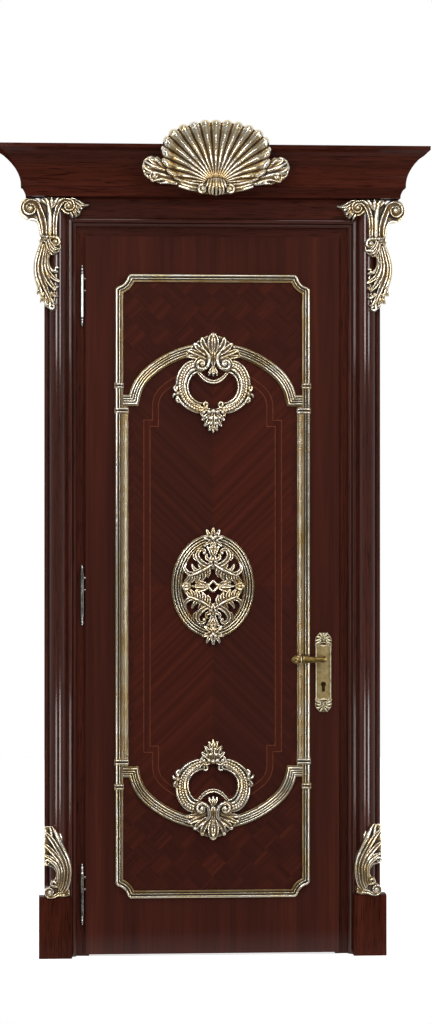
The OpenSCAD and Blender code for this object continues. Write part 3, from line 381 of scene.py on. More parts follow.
wing = [
    bed([(90, 4), (140, 10), (190, 14), (214, 20), (236, 40), (244, 66), (238, 88), (222, 100), (196, 98), (168, 86),
         (130, 50)], 18),
    flute([(120, 30, 22, 22), (167, 46, 24, 28), (200, 53, 22, 30), (226, 60, 16, 27), (241, 72, 8, 20)]),
    flute([(140, 48, 20, 22), (172, 64, 22, 28), (198, 78, 18, 29), (218, 90, 12, 25), (210, 100, 7, 19)]),
    gouge([(160, 64, 14, 22), (182, 82, 14, 26), (196, 98, 8, 20)]),
    flute([(90, 12, 20, 20), (143, 24, 22, 27), (177, 30, 20, 29), (203, 24, 15, 27)]
          + curl(203, 34, 14, 5, 280, 620, 12, 8, 27, 32, 12)),
    boss(203, 34, 6, 34),
    gouge([(168, 38, 8, 29), (200, 44, 9, 33), (232, 46, 5, 24)]),
    gouge([(170, 54, 8, 29), (206, 66, 9, 33), (236, 84, 5, 24)]),
    gouge([(166, 56, 7, 27), (196, 88, 8, 30), (206, 92, 4, 24)]),
    gouge([(128, 10, 10, 26), (160, 14, 10, 28), (186, 12, 5, 22)]),
    flute([(24, 2, 18, 30), (62, 2, 20, 34), (98, 10, 19, 32), (136, 24, 12, 26)]),
    gouge([(60, -10, 12, 28), (90, -6, 12, 30), (124, 4, 8, 24)]),
    gouge(curl(45, -9, 16, 5, 100, -320, 10, 7, 38, 48)),
    boss(45, -9, 6, 52),
    gouge([(7, 30, 6, 32), (9, 6, 8, 44), (13, -14, 9, 42), (11, -27, 5, 32)]),
    gouge([(15, 28, 6, 30), (19, 8, 8, 42), (24, -12, 8, 40), (20, -25, 5, 30)]),
    gouge([(23, 26, 6, 28), (29, 10, 7, 38), (33, -2, 6, 36)]),
]
shell = [scallop()] + wing + flipped(wing) + [gouge([(0, 30, 7, 34), (0, 4, 9, 48), (0, -29, 6, 34)])]
shell += [bed([(-100, -8), (-60, -18), (0, -26), (60, -18), (100, -8), (60, 2), (-60, 2)], 22)]
crest_foot = (0, -168, 2553)
place_carving(carve("shell_crest_carved", shell, crest_foot, voxel=1.88, soften=2), "frame", "shell_crest")


# Capitals: a pair of scrolled brackets under the cornice, each with two volutes on a reeded stem, a knot of
# leaves and a long hanging acanthus. Carved, gilded and pinned to the pilaster; the left is the right's mirror.
def disc(x, z, r, relief, n=28):
    """A round bed."""
    return bed([(x + r * math.cos(a), z + r * math.sin(a)) for a in np.linspace(0, 2 * math.pi, n, endpoint=False)],
               relief)


capital = [
    disc(90, -40, 37, 38), disc(-36, -31, 26, 38),
    bed([(-20, -6), (2, -36), (6, -70), (2, -132), (56, -132), (60, -106), (66, -80), (60, -20), (44, -2), (0, -2)],
        38),
    bed([(-46, -4), (-72, -8), (-98, -22), (-80, -40), (-72, -60), (-58, -62), (-50, -44)], 30),
    bed([(58, -130), (63, -145), (52, -162), (40, -176), (20, -196), (2, -188), (-12, -172), (-10, -150),
         (-2, -132)], 41),
    bed([(54, -150), (66, -193), (74, -231), (73, -264), (65, -299), (52, -335), (36, -366), (18, -380), (6, -372),
         (10, -350),
         (8, -328), (8, -304), (4, -284), (2, -264), (6, -250), (16, -246), (26, -237), (29, -214), (25, -192)], 35),
    flute([(44, -128, 20, 44), (45, -102, 23, 46), (50, -76, 25, 48), (57, -54, 24, 49)]
          + curl(90, -40, 28, 8, 180, -280, 21, 13, 49, 57, 24)),
    boss(90, -40, 9, 61),
    gouge([(56, -128, 6, 46), (60, -104, 6, 47), (67, -82, 6, 47), (82, -75, 6, 46), (98, -76, 5, 44)]),
    gouge([(26, -130, 14, 50), (25, -95, 15, 53), (26, -63, 15, 55), (29, -36, 14, 55), (36, -16, 11, 53),
           (44, -6, 7, 48)]),
    flute([(9, -130, 13, 45), (9, -92, 15, 47), (6, -60, 17, 48), (-3, -33, 18, 49), (-18, -14, 18, 49)]
          + curl(-36, -31, 19, 6, 75, 440, 17, 10, 49, 56, 18)),
    boss(-36, -31, 7, 59),
    flute([(-42, -8, 13, 44), (-58, -12, 15, 45), (-74, -22, 13, 42), (-90, -27, 9, 36), (-105, -24, 5, 28)]),
    flute([(-52, -18, 12, 46), (-66, -28, 13, 44), (-82, -40, 6, 36)]),
    flute([(-52, -30, 12, 46), (-64, -42, 12, 43), (-75, -54, 5, 35)]),
    flute([(-50, -42, 11, 45), (-58, -54, 11, 42), (-64, -66, 5, 34)]),
    gouge([(-42, -52, 9, 42), (-48, -62, 8, 39), (-50, -70, 4, 34)]),
    gouge([(20, -40, 8, 50), (20, -18, 12, 57), (20, -3, 9, 56)]),
    gouge([(24, -36, 8, 50), (35, -15, 11, 55), (44, -3, 7, 52)]),
    gouge([(16, -36, 8, 50), (5, -14, 11, 55), (-4, -3, 7, 52)]),
    gouge([(28, -34, 7, 48), (48, -16, 9, 52), (60, -6, 6, 48)]),
    gouge([(10, -30, 7, 48), (-12, -10, 9, 52), (-22, -3, 6, 48)]),
    flute([(34, -146, 15, 49), (49, -145, 13, 46), (63, -138, 6, 38)]),
    gouge([(38, -135, 9, 49), (50, -131, 9, 46), (60, -125, 5, 40)]),
    gouge([(24, -140, 10, 50)] + curl(6, -151, 16, 5, 70, 460, 11, 7, 50, 56)),
    boss(6, -151, 6, 59),
    boss(13, -134, 5, 53), boss(24, -134, 5, 55), boss(35, -134, 5, 54),
    flute([(30, -142, 12, 51), (22, -160, 13, 54), (10, -172, 11, 51), (-9, -174, 5, 43)]),
    flute([(36, -150, 12, 50), (30, -172, 13, 53), (20, -194, 6, 46)]),
    flute([(28, -162, 10, 51), (16, -180, 11, 51), (2, -187, 5, 43)]),
    gouge([(53, -152, 11, 44), (66, -193, 15, 47), (73, -228, 16, 48), (71, -264, 16, 48), (61, -299, 15, 47),
           (48, -335, 12, 45), (34, -362, 9, 42)]),
    flute([(45, -158, 11, 48), (54, -197, 15, 52), (59, -230, 18, 55), (55, -265, 19, 55), (41, -300, 18, 53),
           (27, -334, 12, 49), (16, -354, 7, 45)]),
    flute([(39, -166, 10, 49), (45, -201, 14, 54), (47, -230, 16, 57), (41, -260, 18, 57), (24, -290, 17, 54),
           (6, -312, 7, 47)]),
    flute([(34, -178, 9, 48), (38, -207, 11, 53), (37, -231, 13, 56), (28, -255, 14, 56), (12, -273, 13, 53),
           (-7, -283, 6, 47)]),
    gouge([(29, -190, 8, 47), (32, -212, 9, 51), (28, -232, 11, 53), (16, -247, 11, 53), (3, -250, 10, 51)]
          + curl(1, -241, 9, 4, 270, 500, 8, 5, 51, 54, 6)),
    flute([(22, -296, 10, 50), (8, -302, 10, 48), (-4, -297, 5, 42)]),
    flute([(24, -318, 10, 49), (10, -330, 10, 47), (-2, -329, 5, 41)]),
    gouge([(56, -296, 10, 47), (64, -312, 9, 45), (69, -326, 4, 38)]),
    flute([(38, -322, 11, 47), (36, -344, 11, 46), (40, -364, 5, 40)]),
    gouge([(46, -318, 11, 47), (52, -336, 10, 45), (58, -352, 4, 38)]),
    gouge([(28, -336, 10, 47), (25, -356, 9, 46)] + curl(17, -366, 10, 4, 40, -280, 9, 6, 46, 50, 9)),
    gouge([(22, -340, 9, 48), (14, -354, 9, 46), (3, -358, 4, 40)]),
]
pilaster_x, wall_face, capital_top = 519, -18, 2533
for side, x, strokes in (("right", pilaster_x, capital), ("left", -pilaster_x, flipped(capital))):
    piece = carve("capital_" + side + "_carved", strokes, (x, wall_face, capital_top), voxel=1.4, soften=2)
    place_carving(piece, "frame", "capital_" + side)


# Foot leaves: a tall acanthus that rises from a scroll on each plinth and bends over the pilaster.
# Carved and gilded as the capitals are, and a mirrored pair as well.
foot = [
    bed([(-22, 2), (-40, 6), (-36, 34), (-43, 60), (-46, 90), (-40, 126), (-24, 162), (-10, 195), (6, 224),
         (18, 236), (43, 236),
         (44, 190), (44, 150), (44, 106), (30, 104), (14, 98), (5, 84), (5, 70), (10, 60), (22, 56), (18, 40),
         (34, 34), (43, 18), (40, 2)], 42),
    gouge([(-18, 14, 14, 44), (-31, 34, 14, 47), (-38, 60, 14, 48), (-40, 90, 15, 48), (-34, 124, 15, 49),
           (-18, 160, 16, 50),
           (-3, 192, 16, 49), (9, 218, 11, 46), (18, 233, 6, 42)]),
    flute([(-12, 20, 12, 49), (-22, 40, 13, 52), (-27, 64, 14, 54), (-29, 90, 14, 55), (-21, 122, 16, 56),
           (-3, 156, 18, 56),
           (14, 184, 18, 53), (29, 204, 14, 49), (42, 216, 8, 45)]),
    flute([(-6, 26, 11, 50), (-14, 44, 11, 54), (-17, 66, 12, 57), (-18, 90, 13, 58), (-9, 118, 15, 58),
           (10, 144, 17, 56),
           (28, 163, 16, 53), (43, 176, 9, 47)]),
    flute([(-1, 32, 9, 50), (-7, 50, 10, 54), (-9, 70, 11, 57), (-8, 92, 12, 58), (1, 113, 13, 58),
           (19, 130, 14, 55), (43, 140, 8, 48)]),
    gouge([(4, 40, 8, 49), (-1, 58, 8, 53), (-2, 76, 9, 54), (-1, 94, 10, 55), (10, 112, 11, 55), (27, 122, 10, 52)]
          + curl(34, 115, 9, 4, 80, -190, 9, 6, 51, 56, 8)),
    gouge([(-12, 180, 9, 44), (-12, 198, 9, 42), (-7, 212, 5, 36)]),
    gouge([(20, 200, 9, 49), (22, 220, 9, 49), (27, 234, 5, 44)]),
    gouge([(36, 206, 7, 46), (40, 220, 7, 44), (40, 232, 4, 40)]),
    gouge([(4, 34, 9, 50)] + curl(12, 47, 11, 4, 240, 560, 9, 6, 49, 55, 10)),
    flute([(-4, 12, 13, 47), (10, 4, 12, 48)] + curl(26, 18, 17, 6, 250, 640, 12, 9, 49, 57, 18)),
    boss(26, 18, 7, 60),
    flute([(6, 8, 15, 46), (-18, 12, 14, 46), (-39, 9, 6, 36)]),
    flute([(-4, 18, 13, 46), (-22, 28, 13, 45), (-36, 40, 6, 36)]),
    gouge([(-30, 4, 8, 40), (0, 4, 9, 42), (42, 4, 7, 42)]),
]
plinth_top = 205
for side, x, strokes in (("right", pilaster_x, foot), ("left", -pilaster_x, flipped(foot))):
    piece = carve("foot_leaf_" + side + "_carved", strokes, (x, wall_face, plinth_top), voxel=1.3, soften=2)
    place_carving(piece, "frame", "foot_leaf_" + side)


# Rear casing: plain boards planted round the opening at the back, mitred at the head, in the same mahogany.
# Only the front of the door is carved and glossed, so these are flat, square-edged and thinly coated.
satin_across = mahogany("satin_mahogany_across", 0, stain, 0.12)
dress(satin_upright, "rear_casing_left", "rear_casing_right")
dress(satin_across, "rear_casing_head")


# Hinges: turned two-part hinges with finials on a steel pin, polished and chromium plated.
# Fingers leave the mirror slightly hazed, so its gloss varies in soft patches.
polished_hinge, tree, shader, place = new_finish("polished_chromium_plate", {"Metallic": 1.0})
haze = add(tree, "TexNoise", {"Vector": place, "Scale": 45.0, "Detail": 5})
shade = add(tree, "ValToRGB", {0: haze}, stops=[(0.3, "#a09d98"), (0.7, "#cbc8c3")])
rough = add(tree, "MapRange", {0: haze, 1: 0.35, 2: 0.7, 3: 0.1, 4: 0.24})
plug(shader, {"Base Color": shade, "Roughness": rough})
dress(polished_hinge, "hinge_frame_halves", "hinge_pins", "hinge_leaf_halves")


# Leaf: a flat slab faced with mahogany veneers. The border runs upright, the spandrels are a lattice of small
# diagonal squares, and the field inside the inlaid lines is four matched leaves that meet at the centre.
leaf_middle, arch_spring = 1237, 0.602
leaf_veneer, tree, shader, place = new_finish("lacquered_matched_veneer", {
    "Specular IOR Level": 0.03, "Coat Roughness": 0.08, "Coat IOR": 1.45})
centred = add(tree, "Mapping", {"Vector": place, "Location": (0, 0, -leaf_middle / 1000)}).outputs[0]
fold = add(tree, "VectorMath", {0: centred}, operation="ABSOLUTE").outputs[0]
side = add(tree, "SeparateXYZ", {0: centred})
quarter = add(tree, "SeparateXYZ", {0: fold})
masks = {}
for name, half, height in (("panel", 0.314, 1.0305), ("outer_step", 0.231, 0.556), ("inner_step", 0.210, 0.535)):
    wide = add(tree, "Math", {0: quarter.outputs[0], 1: half}, operation="LESS_THAN")
    tall = add(tree, "Math", {0: quarter.outputs[2], 1: height}, operation="LESS_THAN")
    masks[name] = add(tree, "Math", {0: wide, 1: tall}, operation="MULTIPLY").outputs[0]
for name, half, rise in (("arch", 0.265, 0.194), ("outer_arc", 0.202, 0.131), ("inner_arc", 0.182, 0.111)):
    wide = add(tree, "MapRange", {0: quarter.outputs[0], 1: 0.0, 2: half, 3: 0.0, 4: 1.0})
    tall = add(tree, "MapRange", {0: quarter.outputs[2], 1: arch_spring, 2: arch_spring + rise, 3: 0.0, 4: 1.0})
    both = add(tree, "CombineXYZ", {0: wide, 2: tall})
    length = add(tree, "VectorMath", {0: both}, operation="LENGTH")
    masks[name] = add(tree, "Math", {0: length.outputs["Value"], 1: 0.999}, operation="LESS_THAN").outputs[0]
for name in ("outer", "inner"):
    masks[name] = add(tree, "Math", {0: masks[name + "_step"], 1: masks[name + "_arc"]},
                      operation="MAXIMUM").outputs[0]
seen = {}
for name, source, turn, scales in (
        ("upright", centred, 0, ((24, 24, 0.8), (125, 125, 3.0))),
        ("rising", centred, 45, ((52, 52, 2.0), (190, 190, 5.0))),
        ("falling", centred, -45, ((52, 52, 2.0), (190, 190, 5.0))),
        ("matched", fold, 45, ((70, 70, 0.9), (210, 210, 3.4)))):
    laid = add(tree, "Mapping", {"Vector": source, "Rotation": (0, math.radians(-turn), 0)})
    grains = []
    for scale in scales:
        drawn = add(tree, "Mapping", {"Vector": laid, "Scale": scale})
        grains.append(add(tree, "TexNoise", {
            "Vector": drawn, "Scale": 1.0, "Detail": 4, "Roughness": 0.6}).outputs["Fac"])
    seen[name] = add(tree, "Mix", {0: 0.4, 2: grains[0], 3: grains[1]}).outputs[0]
border = add(tree, "ValToRGB", {0: seen["upright"]}, stops=[
    (0.30, "#30140e"), (0.46, "#3b1911"), (0.58, "#431d14"), (0.74, "#502618")])
squares = add(tree, "Mapping", {"Vector": centred, "Rotation": (0, math.radians(45), 0), "Location": (0, 0.5, 0)})
lattice = add(tree, "TexChecker", {"Vector": squares, "Scale": 16.0})
dark_square = add(tree, "ValToRGB", {0: seen["falling"]},
                  stops=[(0.32, "#2e130d"), (0.5, "#37160f"), (0.68, "#421c13")])
red_square = add(tree, "ValToRGB", {0: seen["rising"]},
                 stops=[(0.32, "#2f130d"), (0.5, "#3c1810"), (0.68, "#4c2116")])
parquet = add(tree, "Mix", {0: lattice.outputs["Fac"], 6: dark_square, 7: red_square}, data_type="RGBA")
# Painted sheen: two opposite quarters are lighter and redder and the other two darker, as light catches the turned
# grain.
sheen_dark_quarter = add(tree, "ValToRGB", {0: seen["matched"]}, stops=[
    (0.32, "#30130e"), (0.46, "#381710"), (0.56, "#3e1a12"), (0.72, "#482016")])
sheen_lit_quarter = add(tree, "ValToRGB", {0: seen["matched"]}, stops=[
    (0.32, "#34140e"), (0.46, "#3e1810"), (0.56, "#451c13"), (0.72, "#512217")])
product = add(tree, "Math", {0: side.outputs[0], 1: side.outputs[2]}, operation="MULTIPLY")
same = add(tree, "Math", {0: product, 1: 0.0}, operation="GREATER_THAN")
field = add(tree, "Mix", {0: same, 6: sheen_dark_quarter, 7: sheen_lit_quarter}, data_type="RGBA")
band = add(tree, "ValToRGB", {0: seen["upright"]}, stops=[(0.32, "#37150f"), (0.5, "#421a12"), (0.7, "#4d2117")])
front = add(tree, "Math", {0: side.outputs[1], 1: 0.0}, operation="LESS_THAN").outputs[0]
paint = border.outputs[0]
for mask, colour in (("panel", parquet.outputs[2]), ("arch", field.outputs[2]), ("outer", band.outputs[0]),
                     ("inner", field.outputs[2])):
    shown = add(tree, "Math", {0: masks[mask], 1: front}, operation="MULTIPLY")
    paint = add(tree, "Mix", {0: shown, 6: paint, 7: colour}, data_type="RGBA").outputs[2]
rough = add(tree, "MapRange", {0: seen["upright"], 1: 0.3, 2: 0.7, 3: 0.52, 4: 0.42})
lacquer = add(tree, "MapRange", {0: front, 3: 0.12, 4: 0.5})
plug(shader, {"Coat Weight": lacquer, "Base Color": paint, "Roughness": rough})
dress(leaf_veneer, "leaf_slab")


# Inlaid lines: strips of lighter wood 3 mm wide, let into the veneer and lacquered over with it.
# They take the stain too, so they show as thin red-brown lines.
light_inlay, tree, shader, place = new_finish("stained_pearwood_stringing", {
    "Specular IOR Level": 0.03, "Coat Weight": 0.5, "Coat Roughness": 0.08, "Coat IOR": 1.45, "Roughness": 0.45})
grain = add(tree, "TexNoise", {"Vector": place, "Scale": 90.0, "Detail": 4})
shade = add(tree, "ValToRGB", {0: grain}, stops=[(0.3, "#532819"), (0.7, "#693824")])
plug(shader, {"Base Color": shade})
dress(light_inlay, "inlay_lines")


# Gilt mouldings: lengths of a reeded section, mitred into a frame with scooped corners and into two arches with
# ears, and straight strips cut with a laurel chevron. Gessoed, silvered and toned like the carvings, with shade
# painted into the quirks and edges.
leaf_front = -17


def reeded(edge, reeds):
    """A section from the width, height, swell and tone of its reeds and hollows: across, up and how hollow. The tones
    paint shade into the quirks and the section's edges, and the flanks of round reeds are painted darker as shade.
    """
    section = [(edge, 0.0, 0.75)]
    for width, height, swell, tone in reeds:
        for t in (-0.98, -0.8, -0.45, 0, 0.45, 0.8, 0.98):
            fall = swell * (1 - math.sqrt(1 - t * t)) if swell > 0 else -swell * (1 - t * t)
            # Painted shade: each round reed darkens towards its flanks, where it turns away from the light.
            flank_shade = 0.4 * t ** 4 if swell > 0 else 0
            section.append((edge + width * (0.5 + t / 2), height - width * fall, tone + flank_shade))
        edge += width
    return section + [(edge, 0.0, 0.75)]


def run_moulding(name, path, section, closed, chevron=0):
    """Sweeps a section along a path in x and z, mitred at its corners; across counts to the left of the path."""
    p = np.array(path, float)
    ways = np.roll(p, -1, axis=0) - p if closed else np.diff(p, axis=0)
    ways /= np.linalg.norm(ways, axis=1)[:, None]
    sides = np.stack([-ways[:, 1], ways[:, 0]], axis=1)
    before = np.roll(sides, 1, axis=0) if closed else np.vstack([sides[:1], sides])
    after = sides if closed else np.vstack([sides, sides[-1:]])
    mitre = (before + after) / (1 + np.sum(before * after, axis=1))[:, None]
    run = np.hstack([0, np.cumsum(np.linalg.norm(np.diff(p, axis=0), axis=1))])
    s = np.array(section)
    points = p[:, None, :] + mitre[:, None, :] * s[None, :, 0:1]
    wave = np.zeros((len(p), len(s)))
    if chevron:
        inner = (s[:, 1] > 0) * np.clip(1.3 - np.abs(s[:, 0]) / 6, 0, 1)
        wave = np.sin(2 * math.pi * (run[:, None] - 1.2 * np.abs(s[:, 0])) / chevron) * inner
    up = leaf_front - s[:, 1] - 1.5 * wave
    spots = np.stack([points[:, :, 0], np.broadcast_to(up, wave.shape), points[:, :, 1]], axis=2)
    spots = spots.reshape(-1, 3) / 1000
    n, m = len(s), len(p)
    faces = grid_faces(m, n) + [(i * n + n - 1, i * n, (i + 1) * n, (i + 1) * n + n - 1) for i in range(m - 1)]
    if closed:
        last = (m - 1) * n
        faces += [(last + j, last + j + 1, j + 1, j) for j in range(n - 1)] + [(last + n - 1, last, 0, n - 1)]
    else:
        faces += [tuple(range(n - 1, -1, -1)), tuple(range((m - 1) * n, m * n))]
    mesh = bpy.data.meshes.new(name)
    mesh.from_pydata(spots.tolist(), [], faces)
    # Painted highlight and shade: the laurel's raised parts are toned lighter and its sunken parts darker.
    hollow = np.clip(s[None, :, 2] - 0.2 * wave, 0, 1)
    mesh.attributes.new("hollow", "FLOAT", "POINT").data.foreach_set("value", hollow.astype(np.float32).ravel())
    piece = bpy.data.objects.new(name, mesh)
    bpy.context.collection.objects.link(piece)
    bpy.ops.object.select_all(action="DESELECT")
    piece.select_set(True)
    bpy.context.view_layer.objects.active = piece
    bpy.ops.object.mode_set(mode="EDIT")
    bpy.ops.mesh.select_all(action="SELECT")
    bpy.ops.mesh.normals_make_consistent(inside=False)
    bpy.ops.object.mode_set(mode="OBJECT")
    bpy.ops.object.shade_smooth_by_angle(angle=math.radians(50))
    return piece


scoop_x, scoop_z, scoop = 327.5, 2281, 55.5
corner = [(314, 2225.5)]
corner += [(scoop_x + scoop * math.cos(a), scoop_z + scoop * math.sin(a))
           for a in np.radians(np.linspace(254, 196, 13))]
corner += [(272, 2267.5)]
upper = corner + [(-x, z) for x, z in reversed(corner)]
frame_path = upper + [(-x, 2 * leaf_middle - z) for x, z in upper]
# Painted highlight and shade: the wide reed is toned brightest, the quirks near black and the outer edge darker.
frame_reeds = reeded(-13.5, [
    (2, 5, 0.42, 0.6), (7.6, 14, 0.45, 0.26), (4.2, 3.5, -0.1, 0.9), (3.6, 10.5, 0.45, 0.34), (3, 5, -0.1, 0.86),
    (4, 8, 0.3, 0.52), (2.6, 7.5, 0.45, 0.46)])
gilt_frame = run_moulding("gilt_frame_reeded", frame_path, frame_reeds, True)
place_carving(gilt_frame, "leaf", "frame_top", "frame_bottom", "frame_left", "frame_right", "frame_corners")

strip_reeds = reeded(-8.5, [(2.5, 7, 0.45, 0.38), (12, 11, 0.4, 0.44), (2.5, 7, 0.45, 0.38)])
strip_x, strip_foot, strip_top, laurel = 292, 635.5, 1838.5, 8
heights = np.arange(strip_foot, strip_top, 1.25)
for side, name in ((strip_x, "right"), (-strip_x, "left")):
    strip = run_moulding("gilt_strip_" + name, [(side, z) for z in heights], strip_reeds, False, laurel)
    place_carving(strip, "leaf", "strip_" + name)

arch_path = [(300.2, 1857.8), (264.4, 1857.8)]
arch_path += [(115 + 150 * math.cos(a), 1838.8 + 150 * math.sin(a)) for a in np.radians(np.linspace(10, 47, 12))]
arch_path += [(321.6 * math.cos(a), 1711.4 + 321.6 * math.sin(a)) for a in np.radians(np.linspace(49, 90, 20))]
arch_path += [(-x, z) for x, z in reversed(arch_path[:-1])]
# Painted shade: the quirks between the reeds are toned near black.
arch_reeds = reeded(-19, [
    (3, 7, 0.4, 0.46), (6, 14, 0.45, 0.32), (2.6, 8, -0.1, 0.78), (5, 16, 0.45, 0.34), (2.6, 10, -0.1, 0.78),
    (5, 17, 0.45, 0.34), (2.6, 11, -0.1, 0.76), (7, 19, 0.45, 0.32), (4.2, 9, 0.4, 0.5)])
turned_path = [(-x, 2 * leaf_middle - z) for x, z in arch_path]
for name, path in (("arch_top", arch_path), ("arch_bottom", turned_path)):
    place_carving(run_moulding("gilt_" + name, path, arch_reeds, False), "leaf", name)

ring_half, ring_rise = 121.1, 156.2
ring_path = [(ring_half * math.cos(a), leaf_middle + ring_rise * math.sin(a))
             for a in np.linspace(0, 2 * math.pi, 120, endpoint=False)]
# Painted shade: the quirks between the reeds are toned near black.
ring_reeds = reeded(-18, [
    (3, 8, 0.4, 0.5), (6, 15, 0.45, 0.36), (2.8, 9, -0.1, 0.82), (6, 19, 0.45, 0.35), (2.8, 12, -0.1, 0.82),
    (5.6, 18, 0.45, 0.37), (2.8, 10, -0.1, 0.82), (4, 12, 0.45, 0.43), (3, 6, 0.4, 0.52)])
place_carving(run_moulding("gilt_oval_ring", ring_path, ring_reeds, True), "leaf", "medallion_ring")


# Ribbon ties: narrow carved bands that bind the strips to the frame above and below each ear of the arches.
# Each is two turns of a cord with a cut between them that the gilding paints dark as shade, carved with the moulding
# and gilded.
ties = []
for side in (-1, 1):
    for x0, z in ((299, 1907), (282, 1824)):
        for mark in (z, 2 * leaf_middle - z):
            ground = [(side * x0, mark - 10), (side * 329, mark - 10), (side * 329, mark + 10),
                      (side * x0, mark + 10)]
            ties.append(bed(ground, 14.5))
            for step in (-6, 6):
                ties.append(gouge([(side * (x0 - 1), mark + step, 5.4, 16),
                                   (side * (x0 + 7), mark + step * 0.9, 5.4, 20),
                                   (side * 321, mark + step * 0.9, 5.4, 20), (side * 330, mark + step, 5.4, 15)]))
place_carving(carve("ribbon_ties_carved", ties, (0, leaf_front, 0), voxel=1.0, soften=1), "leaf", "ribbon_ties")


# Wreaths: a palmette over two volutes sits on each arch's crown, and a leafy broken ring hangs from it
# with a swag across and a drop of leaves below. The lower one is the upper turned over.
half_wreath = [
    bed([(0, 44), (20, 40), (40, 32), (64, 12), (88, -14), (92, -32), (64, -40), (56, -62), (36, -76), (14, -66),
         (0, -60)], 23),
    bed([(50, -38), (84, -44), (106, -64), (121, -94), (126, -125), (124, -158), (110, -186), (86, -206), (54, -220),
         (26, -216),
         (16, -202), (22, -184), (44, -182), (62, -172), (78, -152), (84, -128), (80, -104), (68, -86), (46, -72),
         (36, -60)], 22),
    bed([(0, -202), (26, -202), (38, -216), (34, -238), (24, -256), (12, -272), (0, -280)], 23),
    flute([(3, -22, 11, 31), (10, 8, 19, 36), (9, 33, 16, 36), (2, 49, 7, 31)]),
    flute([(8, -24, 12, 30), (29, 4, 21, 34), (36, 22, 18, 34), (36, 37, 8, 30)]),
    flute([(12, -28, 12, 29), (43, -6, 20, 33), (56, 7, 17, 32), (61, 18, 8, 28)]),
    flute([(20, -30, 12, 28), (54, -18, 17, 31), (72, -10, 15, 30), (84, -7, 7, 26)]),
    flute([(28, -34, 11, 27), (60, -31, 14, 29), (79, -28, 12, 28), (91, -27, 6, 24)]),
    boss(37, 30, 7, 33), boss(61, 12, 7, 31), boss(82, -10, 6, 29), boss(5, 44, 6, 34),
    disc(40, -54, 25, 30),
    gouge([(24, -14, 9, 32), (15, -26, 12, 37), (14, -42, 12, 41), (18, -58, 11, 43)]
          + curl(40, -54, 21, 5, 200, 640, 11, 8, 43, 51, 22)),
    boss(40, -54, 6, 53),
    gouge([(54, -44, 9, 26), (82, -49, 9, 27), (104, -68, 9, 28), (118, -96, 9, 28), (122, -124, 8, 27)]),
    gouge([(48, -66, 9, 26), (74, -76, 10, 30), (88, -96, 10, 32), (95, -122, 10, 32), (93, -148, 10, 32),
           (82, -170, 10, 32),
           (62, -187, 10, 31), (42, -194, 9, 30)]),
    gouge([(46, -77, 5, 24), (67, -87, 6, 27), (79, -104, 6, 28), (85, -126, 6, 28), (83, -147, 6, 28),
           (74, -164, 6, 28),
           (58, -178, 6, 27), (42, -184, 5, 26), (26, -186, 4, 25)]),
    gouge([(121, -128, 9, 26), (121, -154, 9, 27), (108, -180, 9, 27), (84, -201, 9, 27), (54, -214, 9, 27),
           (30, -212, 8, 27)]),
    gouge([(38, -200, 12, 30), (24, -199, 10, 30)] + curl(27, -188, 9, 4, 230, -80, 8, 5, 29, 33, 8)),
    flute([(50, -80, 10, 22), (32, -100, 13, 27), (14, -111, 14, 29), (0, -114, 14, 30)]),
    flute([(4, -66, 8, 27), (11, -80, 9, 29), (13, -92, 5, 25)]),
    flute([(10, -207, 11, 28), (27, -205, 13, 31), (39, -215, 11, 31), (36, -228, 7, 29)]),
    flute([(8, -216, 11, 28), (26, -230, 14, 31), (39, -242, 6, 27)]),
    flute([(6, -226, 11, 28), (18, -248, 14, 31), (29, -262, 6, 27)]),
    flute([(4, -238, 10, 28), (9, -262, 13, 30), (14, -277, 6, 26)]),
    boss(14, -214, 7, 34), boss(31, -214, 6, 34), boss(10, -234, 6, 34), boss(8, -252, 5, 33), boss(22, -233, 5, 33),
    boss(119, -152, 8, 33), boss(119, -152, 4, 36),
    gouge([(118, -150, 9, 27), (130, -136, 9, 28), (128, -126, 5, 24)]),
    gouge([(118, -154, 9, 27), (131, -156, 9, 28), (134, -166, 5, 24)]),
    gouge([(116, -158, 9, 27), (122, -174, 9, 28), (114, -184, 5, 24)]),
]
spine = through([(58, -54), (82, -62), (98, -82), (107, -110), (107, -140), (96, -168), (76, -190), (50, -203),
                 (34, -204)], 12)
reach = np.hstack([0, np.cumsum(np.linalg.norm(np.diff(spine, axis=0), axis=1))])
for row, (offset, size) in enumerate(((-5.0, 5.2), (3.5, 5.2))):
    for k in np.arange(4 + row * 4.5, reach[-1], 9):
        x, z = np.interp(k, reach, spine[:, 0]), np.interp(k, reach, spine[:, 1])
        way = math.atan2(z + 128, x - 20)
        half_wreath.append(boss(x + offset * math.cos(way), z + offset * math.sin(way), size, 31, 9))
wreath = half_wreath + flipped(half_wreath) + [
    gouge([(0, -34, 7, 26), (0, -8, 10, 31), (0, 20, 10, 35), (0, 40, 9, 37), (0, 52, 5, 32)]),
    flute([(0, -64, 8, 27), (0, -44, 18, 32), (0, -24, 14, 33), (0, -10, 8, 32)]),
    flute([(0, -62, 8, 29), (0, -80, 11, 32), (0, -95, 5, 27)]),
    flute([(0, -206, 13, 29), (0, -240, 14, 33), (0, -272, 9, 28), (0, -285, 4, 24)]),
    boss(0, -211, 8, 36),
]
for name, strokes, z in (("wreath_top", wreath, 2033), ("wreath_bottom", flipped(wreath, 2), 441)):
    place_carving(carve(name + "_carved", strokes, (0, leaf_front, z), voxel=1.46, soften=1), "leaf", name)


